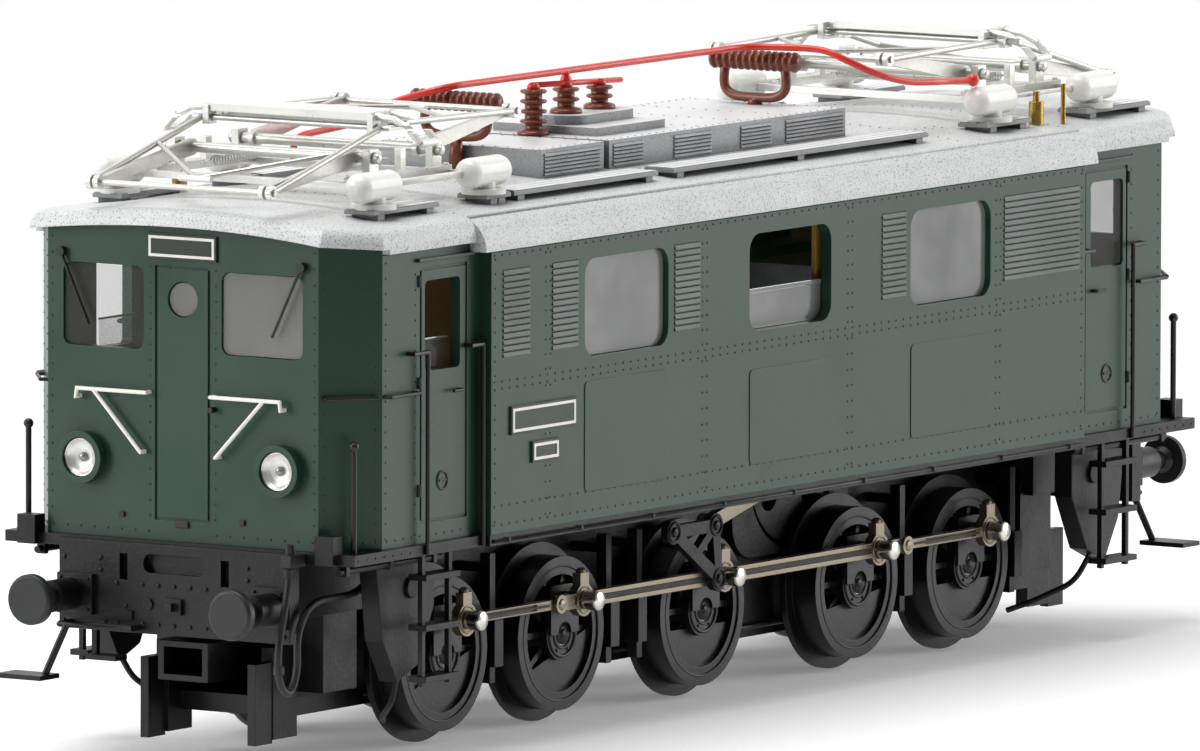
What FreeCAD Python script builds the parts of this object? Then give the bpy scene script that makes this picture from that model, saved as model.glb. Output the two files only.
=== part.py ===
import FreeCAD, Part
import math
import os
import Sketcher

# Five-axle side-rod electric locomotive, scale 1:87, in millimetres.
# X runs along the locomotive with its front end at -X, Z is up and Z = 0 is the
# lowest point of the wheel flanges.  The origin lies under the middle of the body.

SIZES = {
    # body shell
    "front_x": 65.26, "front_half": 13.62, "cab_x": 60.93, "cab_half": 17.07,
    "room_x": 46.49, "room_half": 18.31, "body_low": 18.54, "wall": 1.0,
    "arch_radius": 120.0, "arch_top": 45.05, "body_blank_top": 46.0,
    # roof
    "roof_top": 46.35, "eave_low": 42.36, "cab_eave_low": 43.2, "roof_x": 66.5,
    "roof_front_half": 14.6, "roof_corner_x": 61.9, "cab_roof_half": 17.85,
    "roof_room_x": 47.9, "roof_room_half": 18.75, "eave_round": 2.9, "cab_round": 1.5,
    # windows and doors
    "pane": 0.4, "pane_lap": 0.5, "side_win_len": 12.8, "side_win_low": 32.25, "side_win_top": 40.55,
    "win_mid": 25.35, "front_win_in": 3.93, "front_win_out": 12.04,
    "front_win_low": 34.41, "front_win_top": 41.36, "small_round": 0.8,
    "door_half": 2.78, "door_low": 20.25, "door_top": 41.57, "groove": 0.25, "groove_deep": 0.15,
    "round_win_radius": 1.5, "round_win_height": 38.8,
    "cab_door_x0": 48.3, "cab_door_x1": 55.35, "cab_win_x0": 49.35, "cab_win_x1": 54.6,
    "cab_win_low": 32.9, "cab_win_top": 40.46, "lowered_top": 35.4,
    # lining of the machine room
    "liner_half": 16.7, "liner_x": 45.2, "liner_low": 19.0, "liner_top": 42.0, "liner_wall": 0.4,
    # underframe
    "deck_low": 17.6, "deck_x": 65.8, "deck_half": 17.6, "strip_in": 16.3, "beam_front": 66.5,
    "beam_half": 11.6, "beam_low": 10.8, "beam_thick": 1.4, "corner_x": 65.75, "corner_y": 15.0,
    # buffers
    "buffer_x": 73.3, "buffer_y": 10.1, "buffer_height": 13.79, "head_radius": 2.13,
    "head_thick": 0.8, "stem_radius": 0.75, "sleeve_radius": 1.35, "sleeve_length": 3.7,
    "sleeve_bore": 0.8, "sleeve_deep": 3.2, "stem_length": 4.6, "base_height": 3.4,
    "base_in": 8.0, "base_out": 11.5, "base_thick": 0.5, "hose_y": 12.2,
    # wheels
    "axle_height": 7.6, "tread_radius": 6.55, "flange_radius": 7.6, "rim_radius": 5.7,
    "rim_inner": 5.0, "hub_radius": 2.3, "axle_radius": 1.0, "wheel_in": 7.2, "flange_out": 7.8,
    "wheel_out": 10.2, "spoke_in": 8.3, "spoke_out": 9.4, "hub_out": 10.3, "spoke_width": 0.55,
    "crank": 3.0, "boss_width": 4.2, "boss_out": 10.6, "boss_end": 1.2, "pin_radius": 0.7,
    "pin_head_radius": 0.83, "rod_in": 11.8, "rod_out": 12.6, "pin_head_in": 12.72, "pin_end": 14.0,
    "weight_out": 9.7, "weight_in": 8.6,
    "wheel_x1": -41.4, "wheel_x2": -23.6, "wheel_x3": -1.75, "wheel_x4": 22.6, "wheel_x5": 40.4,
    # rods
    "rod_bore": 0.76, "eye_radius": 1.4, "rod_height": 1.25, "end_rod_height": 0.8,
    "flute_height": 0.5, "flute_deep": 0.2, "knuckle": 4.0, "oiler": 1.3, "oiler_rise": 2.3,
    "frame_in": 12.6, "frame_out": 13.3, "frame_a_x": -9.1, "frame_a_z": 4.6, "frame_b_x": -2.6,
    "frame_b_z": 4.6, "frame_c_x": -2.1, "frame_boss": 1.05, "frame_bar": 1.1,
    # jackshaft and drive
    "jack_x": 17.2, "jack_height": 17.5, "jack_disc": 6.0, "jack_disc_in": 6.0, "jack_disc_out": 6.7,
    "jack_arm_in": 10.8, "jack_arm_out": 11.5, "gear_root": 4.45, "gear_tip": 4.95, "gear_half": 1.6,
    "rail_top": 34.6, "gear_teeth": 24, "tooth_width": 0.62, "worm_radius": 1.55, "worm_half": 3.6,
    "rotor_height": 24.25,
    "shaft_radius": 0.75, "shaft_x0": -28.6, "shaft_x1": 27.4, "motor_x0": -21.0, "motor_x1": 3.0,
    "motor_radius": 7.0, "motor_bore": 6.2, "motor_end": 1.2, "armature_radius": 5.4,
    "armature_gap": 1.2, "flywheel_radius": 4.0, "flywheel_x0": -27.5, "flywheel_x1": -23.5,
    "bearing_gap": 0.05,
    # chassis frame
    "plate_in": 5.0, "plate_out": 5.9, "plate_x": 57.0, "plate_low": 5.2, "plate_top": 16.6,
    "case_out": 6.9, "case_half": 9.2, "case_low": 10.6, "case_bore": 6.5, "cradle_half": 6.0,
    "keeper_low": 3.6, "keeper_half": 5.9,
    # circuit board and ballast
    "board_x": 30.0, "board_half": 9.0, "board_low": 36.6, "board_top": 37.6, "leg_y": 8.0,
    "leg_thick": 0.8, "leg_long": 2.0, "leg_foot": 34.0,
    "ballast_half": 10.0, "ballast_out": 44.0, "ballast_top": 34.0, "ballast_front_in": 29.6,
    "ballast_rear_in": 28.6,
    "screw_x": 60.5, "screw_y": 3.0, "screw_low": 15.2, "screw_seat": 16.0, "screw_end": 17.5,
    "screw_head": 1.2, "screw_shank": 0.6,
    # headlamps
    "lamp_y": 9.9, "lamp_height": 25.1, "lamp_ring": 2.2, "lamp_bore": 1.66, "lamp_deep": 0.9,
    "lens_radius": 1.6, "lens_deep": 0.6,
    # steps, ladders and hoses
    "ladder_x0": 50.9, "ladder_x1": 54.9, "ladder_bar": 0.45, "ladder_in": 16.9, "ladder_out": 17.35,
    "ladder_low": 6.6, "tread_x0": 50.6, "tread_x1": 55.7, "tread_in": 16.2, "tread_out": 18.0,
    "tread_thick": 0.5, "step_x": 68.0, "step_in": 3.4, "step_out": 10.4, "step_height": 11.3,
    "step_bar": 0.28, "hanger": 0.3, "tread_height": 6.7, "hose": 0.32, "hose_back": 55.2,
    "hose_turn": 15.7, "valve_x": 68.0, "valve_low": 17.4, "valve_top": 18.4, "valve_half": 0.5,
    "tap_x": 67.4, "tap_low": 18.3, "tap_top": 19.3, "tap": 0.35, "weight_edge": 1.55,
    # insulators
    "insulator_y": 12.9, "drum_height": 48.2, "drum_radius": 1.28, "drum_half": 3.1, "drum_round": 1.0,
    # pantographs
    "panto_out_x": 51.9, "panto_in_x": 42.5, "panto_height": 50.1, "knee_out_x": 65.5,
    "knee_out_z": 48.2, "knee_in_x": 29.1, "knee_in_z": 52.3, "head_a_x": 49.2, "head_a_z": 52.4,
    "head_b_x": 46.5, "head_b_z": 52.6, "arm_y": 8.3, "upper_y": 9.05, "head_y": 9.6,
    "shaft_end": 10.6, "panto_shaft": 0.45, "knee_pin": 0.25, "tube": 0.27, "eye": 0.62,
    "arm_wide": 0.7, "arm_narrow": 0.38, "arm_thick": 0.5, "rail_y": 9.8, "post_thick": 0.7,
    "pan_half": 8.4, "pan_low": 52.95, "pan_top": 53.65, "pan_width": 3.6, "horn_radius": 0.3,
    "slot_half": 0.62,
}


class Dim:
    """A number together with the sheet expression that gives it."""

    def __init__(self, value, text):
        self.value = float(value)
        self.text = text

    def __add__(self, other):
        other = dim(other)
        return Dim(self.value + other.value, f"({self.text} + {other.text})")

    def __sub__(self, other):
        other = dim(other)
        return Dim(self.value - other.value, f"({self.text} - {other.text})")

    def __mul__(self, other):
        other = dim(other)
        return Dim(self.value * other.value, f"{self.text} * {other.text}")

    def __truediv__(self, other):
        other = dim(other)
        return Dim(self.value / other.value, f"{self.text} / {other.text}")

    def __neg__(self):
        return Dim(-self.value, f"(0 - {self.text})")

    def __radd__(self, other):
        return dim(other) + self

    def __rsub__(self, other):
        return dim(other) - self

    def __rmul__(self, other):
        return dim(other) * self


def dim(value):
    if isinstance(value, Dim):
        return value
    return Dim(value, f"({float(value)!r})")


doc = FreeCAD.newDocument("locomotive")
sheet = doc.addObject("Spreadsheet::Sheet", "dims")
for row, (word, size) in enumerate(SIZES.items(), 1):
    sheet.set(f"A{row}", word)
    sheet.set(f"B{row}", str(size))
    sheet.setAlias(f"B{row}", word)
doc.recompute()


class Sheet:
    """Gives each named cell as a Dim."""

    def __getattr__(self, word):
        return Dim(SIZES[word], f"dims.{word}")


d = Sheet()
nodes = {}
X_AXIS = FreeCAD.Vector(1, 0, 0)
Y_AXIS = FreeCAD.Vector(0, 1, 0)
Z_AXIS = FreeCAD.Vector(0, 0, 1)
ALONG_X = FreeCAD.Rotation(Z_AXIS, X_AXIS)
ALONG_Y = FreeCAD.Rotation(Z_AXIS, Y_AXIS)
BIG = 400.0


# ---------------------------------------------------------------- helpers

def bind(obj, prop, value):
    """Gives a property its value through the sheet."""
    value = dim(value)
    obj.setExpression(prop, value.text)


def place(obj, base, rotation=FreeCAD.Rotation()):
    base = [dim(value) for value in base]
    obj.Placement = FreeCAD.Placement(FreeCAD.Vector(*[value.value for value in base]), rotation)
    for letter, value in zip("xyz", base):
        bind(obj, f"Placement.Base.{letter}", value)


def block(corner, opposite):
    """A box between two opposite corners, given in any order."""
    obj = doc.addObject("Part::Box", "Block")
    low = []
    for prop, one, two in zip(("Length", "Width", "Height"), corner, opposite):
        one, two = dim(one), dim(two)
        if one.value > two.value:
            one, two = two, one
        low.append(one)
        bind(obj, prop, two - one)
    place(obj, low)
    return obj


def cylinder(radius, start, end, centre, axis="y"):
    """A cylinder along one axis from start to end; centre gives the other two coordinates."""
    start, end = dim(start), dim(end)
    if start.value > end.value:
        start, end = end, start
    obj = doc.addObject("Part::Cylinder", "Round")
    bind(obj, "Radius", radius)
    bind(obj, "Height", end - start)
    if axis == "x":
        place(obj, (start, centre[0], centre[1]), ALONG_X)
    elif axis == "y":
        place(obj, (centre[0], start, centre[1]), ALONG_Y)
    else:
        place(obj, (centre[0], centre[1], start))
    return obj


def strut(p, q, radius):
    """A round bar between two points."""
    start = FreeCAD.Vector(*[dim(value).value for value in p])
    end = FreeCAD.Vector(*[dim(value).value for value in q])
    obj = doc.addObject("Part::Cylinder", "Strut")
    bind(obj, "Radius", radius)
    obj.Height = (end - start).Length
    place(obj, p, FreeCAD.Rotation(Z_AXIS, end - start))
    return obj


def ball(centre, radius):
    obj = doc.addObject("Part::Sphere", "Ball")
    bind(obj, "Radius", radius)
    place(obj, centre)
    return obj


def wire_rod(points, radius):
    """A bent round wire, swept along straight runs with mitred bends."""
    nodes_along = [FreeCAD.Vector(*[dim(value).value for value in p]) for p in points]
    spine = doc.addObject("Part::Polygon", "Spine")
    spine.Nodes = nodes_along
    section = doc.addObject("Part::Circle", "Section")
    bind(section, "Radius", radius)
    place(section, points[0], FreeCAD.Rotation(Z_AXIS, nodes_along[1] - nodes_along[0]))
    wire = doc.addObject("Part::Sweep", "Wire")
    wire.Sections = [section]
    wire.Spine = (spine, [f"Edge{number + 1}" for number in range(len(points) - 1)])
    wire.Solid = True
    wire.Frenet = False
    wire.Transition = "Right corner"
    return wire


def fuse(pieces):
    if len(pieces) == 1:
        return pieces[0]
    obj = doc.addObject("Part::MultiFuse", "Fuse")
    obj.Shapes = pieces
    return obj


def cut(base, tools):
    obj = doc.addObject("Part::Cut", "Cut")
    obj.Base = base
    obj.Tool = fuse(tools)
    return obj


def common(one, two):
    obj = doc.addObject("Part::Common", "Common")
    obj.Base = one
    obj.Tool = two
    return obj


def group(pieces):
    """Several separate solids that share one node."""
    obj = doc.addObject("Part::Compound", "Group")
    obj.Links = pieces
    return obj


def tube(outer, inner, start, end, centre, axis="y"):
    reach = dim(end) - dim(start)
    margin = 1.0 if reach.value > 0 else -1.0
    hole = cylinder(inner, dim(start) - margin, dim(end) + margin, centre, axis)
    return cut(cylinder(outer, start, end, centre, axis), [hole])


def round_edges(obj, radius, chosen):
    """Fillets the edges for which chosen(edge) is true."""
    doc.recompute()
    edges = [number for number, edge in enumerate(obj.Shape.Edges, 1) if chosen(edge)]
    fillet = doc.addObject("Part::Fillet", "Fillet")
    fillet.Base = obj
    fillet.Edges = [(number, radius.value, radius.value) for number in edges]
    return fillet


def runs_along(edge, axis):
    if len(edge.Vertexes) < 2 or not isinstance(edge.Curve, Part.Line):
        return False
    return abs(abs(edge.Curve.Direction.dot(axis)) - 1) < 1e-6


def low_corner(edge):
    """True for the two lower long edges of a case."""
    return runs_along(edge, Y_AXIS) and edge.CenterOfMass.z < 12


def rounded_block(corner, opposite, radius, axis):
    """A box whose four edges along one axis are rounded."""
    return round_edges(block(corner, opposite), radius, lambda edge: runs_along(edge, axis))


def prism(outline, start, end, plane="XY"):
    """A PartDesign pad of a closed outline, each corner bound to the sheet."""
    body = doc.addObject("PartDesign::Body", "Body")
    sketch = body.newObject("Sketcher::SketchObject", "Outline")
    role = {"XY": "XY_Plane", "XZ": "XZ_Plane", "YZ": "YZ_Plane"}[plane]
    origin = [item for item in body.Origin.OriginFeatures if item.Role == role][0]
    sketch.AttachmentSupport = [(origin, "")]
    sketch.MapMode = "FlatFace"
    points = [(dim(u), dim(v)) for u, v in outline]
    flat = [FreeCAD.Vector(u.value, v.value, 0) for u, v in points]
    count = len(points)
    for number in range(count):
        sketch.addGeometry(Part.LineSegment(flat[number], flat[(number + 1) % count]), False)
    for number in range(count):
        sketch.addConstraint(Sketcher.Constraint("Coincident", number, 2, (number + 1) % count, 1))
    for number, (u, v) in enumerate(points):
        for kind, value in (("DistanceX", u), ("DistanceY", v)):
            if abs(value.value) < 1e-9:
                axis = -2 if kind == "DistanceX" else -1
                sketch.addConstraint(Sketcher.Constraint("PointOnObject", number, 1, axis))
            else:
                rule = Sketcher.Constraint(kind, -1, 1, number, 1, value.value)
                index = sketch.addConstraint(rule)
                sketch.setExpression(f"Constraints[{index}]", value.text)
    start, end = dim(start), dim(end)
    pad = body.newObject("PartDesign::Pad", "Pad")
    pad.Profile = sketch
    bind(pad, "Length", end - start)
    # the XZ plane's normal is -Y, so a pad from it is reversed to run along +Y
    pad.Reversed = plane == "XZ"
    letter = {"XY": "z", "XZ": "y", "YZ": "x"}[plane]
    base = {"x": 0, "y": 0, "z": 0}
    base[letter] = start
    place(body, (base["x"], base["y"], base["z"]))
    return body


def node(name, obj):
    """Registers a finished sub-part under the name of its file."""
    obj.Label = name
    nodes[name] = obj
    return obj


def octagon(length, front_half, corner_x, half):
    """The plan of a cab roof or shell with its four corners cut off."""
    near = [(-length, -front_half), (-corner_x, -half), (corner_x, -half), (length, -front_half)]
    return near + [(u, -v) for u, v in reversed(near)]


def arch(top):
    """Everything below the roof's arch."""
    return cylinder(d.arch_radius, -BIG / 4, BIG / 4, (0, top - d.arch_radius), "x")


SIDES = (-1, 1)
ENDS = (-1, 1)
WINDOW_X = [-d.win_mid - 0.6, dim(-0.6), d.win_mid - 0.6]
WHEELS_X = [d.wheel_x1, d.wheel_x2, d.wheel_x3, d.wheel_x4, d.wheel_x5]


# ---------------------------------------------------------------- body shell

def window_cutters():
    """The openings through the side, cab and front walls."""
    tools = []
    for middle in WINDOW_X:
        low = (middle - d.side_win_len / 2, -30, d.side_win_low)
        high = (middle + d.side_win_len / 2, 30, d.side_win_top)
        tools.append(rounded_block(low, high, d.small_round * 1.9, Y_AXIS))
    for end in ENDS:
        low = (end * d.cab_win_x0, -30, d.cab_win_low)
        high = (end * d.cab_win_x1, 30, d.cab_win_top)
        tools.append(rounded_block(low, high, d.small_round * 0.6, Y_AXIS))
    for side in SIDES:
        low = (-80, side * d.front_win_in, d.front_win_low)
        high = (80, side * d.front_win_out, d.front_win_top)
        tools.append(rounded_block(low, high, d.small_round, X_AXIS))
    tools.append(cylinder(d.round_win_radius, -80, 80, (0, d.round_win_height), "x"))
    return tools


def frame_ring(low, high, width, through):
    """A rectangular ring, hollow along the axis named by through."""
    inner_low = []
    inner_high = []
    for letter, one, two in zip("xyz", low, high):
        grow = -0.5 if letter == through else 1
        step = width * grow
        swap = dim(one).value > dim(two).value
        inner_low.append(dim(one) - step if swap else dim(one) + step)
        inner_high.append(dim(two) + step if swap else dim(two) - step)
    return cut(block(low, high), [block(inner_low, inner_high)])


def door_grooves():
    tools = []
    for end in ENDS:
        deep = end * (d.front_x - d.groove_deep)
        low = (deep, -d.door_half, d.door_low)
        high = (end * (d.front_x + 1), d.door_half, d.door_top)
        tools.append(frame_ring(low, high, d.groove, "x"))
        for side in SIDES:
            deep = side * (d.cab_half - d.groove_deep)
            low = (end * d.cab_door_x0, deep, d.door_low)
            high = (end * d.cab_door_x1, side * (d.cab_half + 1), d.door_top)
            tools.append(frame_ring(low, high, d.groove, "y"))
    return tools


def body_outer():
    """Cabs and machine room as one solid block under the roof's arch."""
    cab = prism(octagon(d.front_x, d.front_half, d.cab_x, d.cab_half), d.body_low, d.body_blank_top)
    room = block((-d.room_x, -d.room_half, d.body_low), (d.room_x, d.room_half, d.body_blank_top))
    return common(fuse([cab, room]), arch(d.arch_top))


def body_inner():
    wall = d.wall
    cab = prism(octagon(d.front_x - wall, d.front_half - wall * 0.5, d.cab_x - wall * 0.5,
                        d.cab_half - wall),
                d.body_low - 1, d.body_blank_top + 1)
    room = block((-d.room_x + wall, -d.room_half + wall, d.body_low - 1),
                 (d.room_x - wall, d.room_half - wall, d.body_blank_top + 1))
    return [cab, room]


def body_shell():
    return cut(body_outer(), body_inner() + window_cutters() + door_grooves())


# ---------------------------------------------------------------- roof

def roof():
    """An arched cover with rounded eaves that reaches down over the walls."""
    middle = d.roof_room_half - d.eave_round
    room = [block((-d.roof_room_x, -middle, d.eave_low), (d.roof_room_x, middle, d.body_blank_top + 1))]
    for side in SIDES:
        place = (side * middle, d.eave_low)
        room.append(cylinder(d.eave_round, -d.roof_room_x, d.roof_room_x, place, "x"))
    above = block((-d.roof_room_x - 1, -30, d.eave_low), (d.roof_room_x + 1, 30, 60))
    room = common(fuse(room), above)
    plan = octagon(d.roof_x, d.roof_front_half, d.roof_corner_x, d.cab_roof_half)
    cab = common(prism(plan, d.cab_eave_low, d.body_blank_top + 1), arch(d.roof_top))
    lowest_rim = d.roof_top.value - 3
    cab = round_edges(cab, d.cab_round, lambda edge: on_top_rim(edge, lowest_rim))
    outer = common(fuse([room, cab]), arch(d.roof_top))
    return cut(outer, [body_outer(), under_front_rim()])


def under_front_rim():
    """Trims the roof's overhang at the two ends to the line of the arch."""
    pieces = []
    for end in ENDS:
        trim = block((end * d.cab_x, -30, d.body_low), (end * 80, 30, d.body_blank_top))
        pieces.append(common(trim, arch(d.arch_top - 0.1)))
    return fuse(pieces)


def on_top_rim(edge, lowest):
    """True for the edges round the top of a slab, at or above a height."""
    heights = [vertex.Point.z for vertex in edge.Vertexes]
    flat_run = max(heights) - min(heights) < 1.5
    return len(heights) == 2 and min(heights) > lowest and flat_run


def roof_vent_box():
    """The raised equipment box on the roof, in two sections, with its hatch plates."""
    long_box = block((-13.2, -8.1, 45.2), (23.8, 8.1, 48.5))
    short_box = block((-23.7, -8.1, 45.2), (-14.0, 8.1, 48.5))
    bridge = block((-14.5, -7.4, 45.2), (-13.0, 7.4, 48.2))
    plate = block((-10.8, -5.3, 48.5), (-0.3, 5.3, 49.2))
    top_plate = rounded_block((-10.2, -2.6, 49.0), (0.3, 2.6, 50.0), dim(2.0), Z_AXIS)
    box = fuse([long_box, short_box, bridge, plate, top_plate])
    return cut(box, [arch(d.roof_top)])


WALKWAYS = [(-57.9, -48.2), (-41.0, -37.4), (-36.9, -14.9), (-12.5, 27.5), (37.0, 44.2), (53.2, 63.6)]
BOARD_IN = dim(11.2)
BOARD_OUT = dim(14.2)
BOARD_TOP = dim(46.35)
BOARD_THICK = dim(0.35)


def roof_walkways():
    """Boards along both sides of the roof, on short brackets."""
    boards = []
    for side in SIDES:
        for start, end in WALKWAYS:
            pieces = [block((start, side * BOARD_IN, BOARD_TOP - BOARD_THICK),
                            (end, side * BOARD_OUT, BOARD_TOP))]
            span = end - start
            count = 3 if span > 25 else 2
            for number in range(count):
                foot = start + 0.7 + number * (span - 2.4) / (count - 1)
                low = (foot, side * (BOARD_IN + 0.3), 44.4)
                high = (foot + 1.0, side * (BOARD_OUT - 0.1), BOARD_TOP - BOARD_THICK)
                pieces.append(block(low, high))
            boards.append(cut(fuse(pieces), [arch(d.roof_top)]))
    return group(boards)


# ---------------------------------------------------------------- glazing and lining

def glazing():
    """Panes behind the side, cab and front windows; the middle side panes are lowered."""
    panes = []
    lap = d.pane_lap
    inner = d.room_half - d.wall
    for side in SIDES:
        for number, middle in enumerate(WINDOW_X):
            top = d.lowered_top if number == 1 else d.side_win_top + lap
            low = (middle - d.side_win_len / 2 - lap, side * inner, d.side_win_low - lap)
            high = (middle + d.side_win_len / 2 + lap, side * (inner - d.pane), top)
            panes.append(block(low, high))
        cab_inner = d.cab_half - d.wall
        for end in ENDS:
            top = d.lowered_top if end < 0 else d.cab_win_top + lap
            low = (end * (d.cab_win_x0 - lap), side * cab_inner, d.cab_win_low - lap)
            high = (end * (d.cab_win_x1 + lap), side * (cab_inner - d.pane), top)
            panes.append(block(low, high))
    front_inner = d.front_x - d.wall
    for end in ENDS:
        for side in SIDES:
            low = (end * front_inner, side * (d.front_win_in - lap), d.front_win_low - lap)
            high = (end * (front_inner - d.pane), side * (d.front_win_out + lap), d.front_win_top + lap)
            panes.append(block(low, high))
        reach = d.round_win_radius + lap
        panes.append(cylinder(reach, end * front_inner, end * (front_inner - d.pane),
                              (0, d.round_win_height), "x"))
    return group(panes)


def interior_liner():
    """A thin lining of the machine room with its own window openings, and the cab back walls."""
    wall = d.liner_wall
    shell = cut(block((-d.liner_x, -d.liner_half, d.liner_low), (d.liner_x, d.liner_half, d.liner_top)),
                [block((-d.liner_x + wall, -d.liner_half + wall, d.liner_low - 1),
                       (d.liner_x - wall, d.liner_half - wall, d.liner_top + 1))])
    openings = []
    for middle in WINDOW_X:
        low = (middle - d.side_win_len / 2, -30, d.side_win_low)
        high = (middle + d.side_win_len / 2, 30, d.side_win_top)
        openings.append(block(low, high))
    return cut(shell, openings)


# ---------------------------------------------------------------- underframe

def underframe():
    """The deck with its edge strips, the buffer beams and the corner blocks."""
    pieces = []
    for side in SIDES:
        pieces.append(block((-d.room_x, side * d.strip_in, d.deck_low),
                            (d.room_x, side * (d.room_half - 0.1), d.body_low)))
    for end in ENDS:
        deck = block((end * (d.room_x - 2), -d.deck_half, d.deck_low),
                     (end * d.deck_x, d.deck_half, d.body_low))
        pieces.append(deck)
        beam = block((end * (d.beam_front - d.beam_thick), -d.beam_half, d.beam_low),
                     (end * d.beam_front, d.beam_half, d.body_low - 0.2))
        pieces.append(beam)
        for side in SIDES:
            low = (end * (d.corner_x - 0.75), side * (d.corner_y - 0.9), d.deck_low)
            high = (end * (d.corner_x + 0.75), side * (d.corner_y + 0.9), d.body_low + 1.5)
            pieces.append(block(low, high))
            cheek = block((end * 52, side * 8.6, 12.4),
                          (end * (d.beam_front - d.beam_thick), side * 9.6, d.deck_low))
            pieces.append(cheek)
    holes = []
    for end in ENDS:
        slot = rounded_block((end * (d.beam_front + 1), -3.1, 15.9),
                             (end * (d.beam_front - 0.7), 3.1, 17.5), dim(0.7), X_AXIS)
        holes.append(slot)
        for side in SIDES:
            low = (end * (d.beam_front + 1), side * 4.7, 15.2)
            high = (end * (d.beam_front - 0.7), side * 5.5, 17.4)
            holes.append(block(low, high))
    return cut(fuse(pieces), holes)


def chassis_frame():
    """Two side plates with axle slots, the jackshaft cases, cross members and the motor cradle."""
    pieces = []
    for side in SIDES:
        pieces.append(block((-d.plate_x, side * d.plate_in, d.plate_low),
                            (d.plate_x, side * d.plate_out, d.plate_top)))
        case = block((d.jack_x - d.case_half, side * d.plate_out, d.case_low),
                     (d.jack_x + d.case_half, side * d.case_out, d.deck_low - 0.1))
        case = round_edges(case, dim(3.0), low_corner)
        pieces.append(case)
    for middle in (-33, -12.5, 31.5):
        pieces.append(block((middle - 1.5, -d.plate_in, d.plate_low + 4),
                            (middle + 1.5, d.plate_in, d.plate_top)))
    for end in ENDS:
        pieces.append(block((end * 48.0, -d.plate_in, 10.6), (end * 56.5, d.plate_in, d.plate_top)))
        pieces.append(cylinder(0.8, 7.6, 11.0, (end * 50.4, 0), "z"))
        for side in SIDES:
            pieces.append(block((end * 51.8, side * d.plate_out, 5.6), (end * 56.8, side * 8.4, 13.6)))
    for start, end in ((-57, 9.5), (25.0, 57)):
        pieces.append(block((start, -d.plate_out, d.plate_top - 0.5),
                            (end, d.plate_out, d.deck_low - 0.3)))
    for start, end in ((-20.0, -16.0), (-4.0, 0.0)):
        pieces.append(block((start, -d.cradle_half, d.deck_low - 0.8), (end, d.cradle_half, 20.5)))
    for start, end in ((-56.0, -48.0), (48.0, 56.0)):
        pieces.append(block((start, -d.plate_out, d.plate_top), (end, d.plate_out, d.deck_low)))
    bearing = block((25.2, -3.0, d.plate_top), (26.8, 3.0, 26.5))
    pieces.append(bearing)
    tools = []
    for wheel_x in WHEELS_X:
        bore = d.axle_radius + d.bearing_gap
        tools.append(cylinder(bore, -20, 20, (wheel_x, d.axle_height)))
        tools.append(block((wheel_x - bore, -20, 0), (wheel_x + bore, 20, d.axle_height)))
    tools.append(cylinder(d.axle_radius + d.bearing_gap, -20, 20, (d.jack_x, d.jack_height)))
    for side in SIDES:
        tools.append(cylinder(d.case_bore, side * d.plate_out, side * 9, (d.jack_x, d.jack_height)))
    tools.append(cylinder(d.gear_tip + 0.6, -d.gear_half - 0.6, d.gear_half + 0.6,
                          (d.jack_x, d.jack_height)))
    tools.append(cylinder(d.motor_radius, d.motor_x0 - 1, d.motor_x1 + 1, (0, d.rotor_height), "x"))
    tools.append(cylinder(d.shaft_radius + d.bearing_gap, 24, 28, (0, d.rotor_height), "x"))
    return cut(fuse(pieces), tools)


def keeper_plate():
    """The plate under the axles, with the guard irons at its ends."""
    pieces = [block((-58.5, -d.keeper_half, d.keeper_low), (58.5, d.keeper_half, d.plate_low))]
    for end in ENDS:
        for side in SIDES:
            pieces.append(block((end * 57.0, side * 4.7, 1.9), (end * 60.5, side * 5.9, 9.6)))
            pieces.append(block((end * 60.5, side * 5.0, 1.6), (end * 63.0, side * 5.8, 8.4)))
    reliefs = [block((wheel_x - 1.3, -20, d.plate_low - 0.4),
                     (wheel_x + 1.3, 20, 8)) for wheel_x in WHEELS_X]
    return cut(fuse(pieces), reliefs)


def brake_rigging():
    """A hanger with a brake shoe beside each wheel."""
    hangers = []
    for side in SIDES:
        for number, wheel_x in enumerate(WHEELS_X):
            # the third wheel is braked from its front, which leaves room for the jackshaft
            sign = -1 if number == 2 else 1
            gap = d.flange_radius + 0.55
            bar = block((wheel_x + sign * gap, side * 8.4, 4.2),
                        (wheel_x + sign * (gap + 0.8), side * 9.4, 15.2))
            shoe = block((wheel_x + sign * gap, side * 8.2, 5.6),
                         (wheel_x + sign * (gap + 1.3), side * 9.9, 9.6))
            arm = block((wheel_x + sign * gap, side * d.plate_out, 13.6),
                        (wheel_x + sign * (gap + 0.8), side * 8.6, 14.4))
            hangers.append(fuse([bar, shoe, arm]))
    return group(hangers)


def entry_ladders():
    """Two side bars and three treads under each cab door."""
    ladders = []
    for side in SIDES:
        for end in ENDS:
            pieces = []
            for bar_x in (d.ladder_x0, d.ladder_x1):
                pieces.append(block((end * bar_x, side * d.ladder_in, d.ladder_low),
                                    (end * (bar_x + d.ladder_bar), side * d.ladder_out, d.deck_low)))
            for tread in (7.0, 11.3, 15.5):
                pieces.append(block((end * d.tread_x0, side * d.tread_in, tread),
                                    (end * d.tread_x1, side * d.tread_out, tread + d.tread_thick)))
            ladders.append(fuse(pieces))
    return ladders


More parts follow.
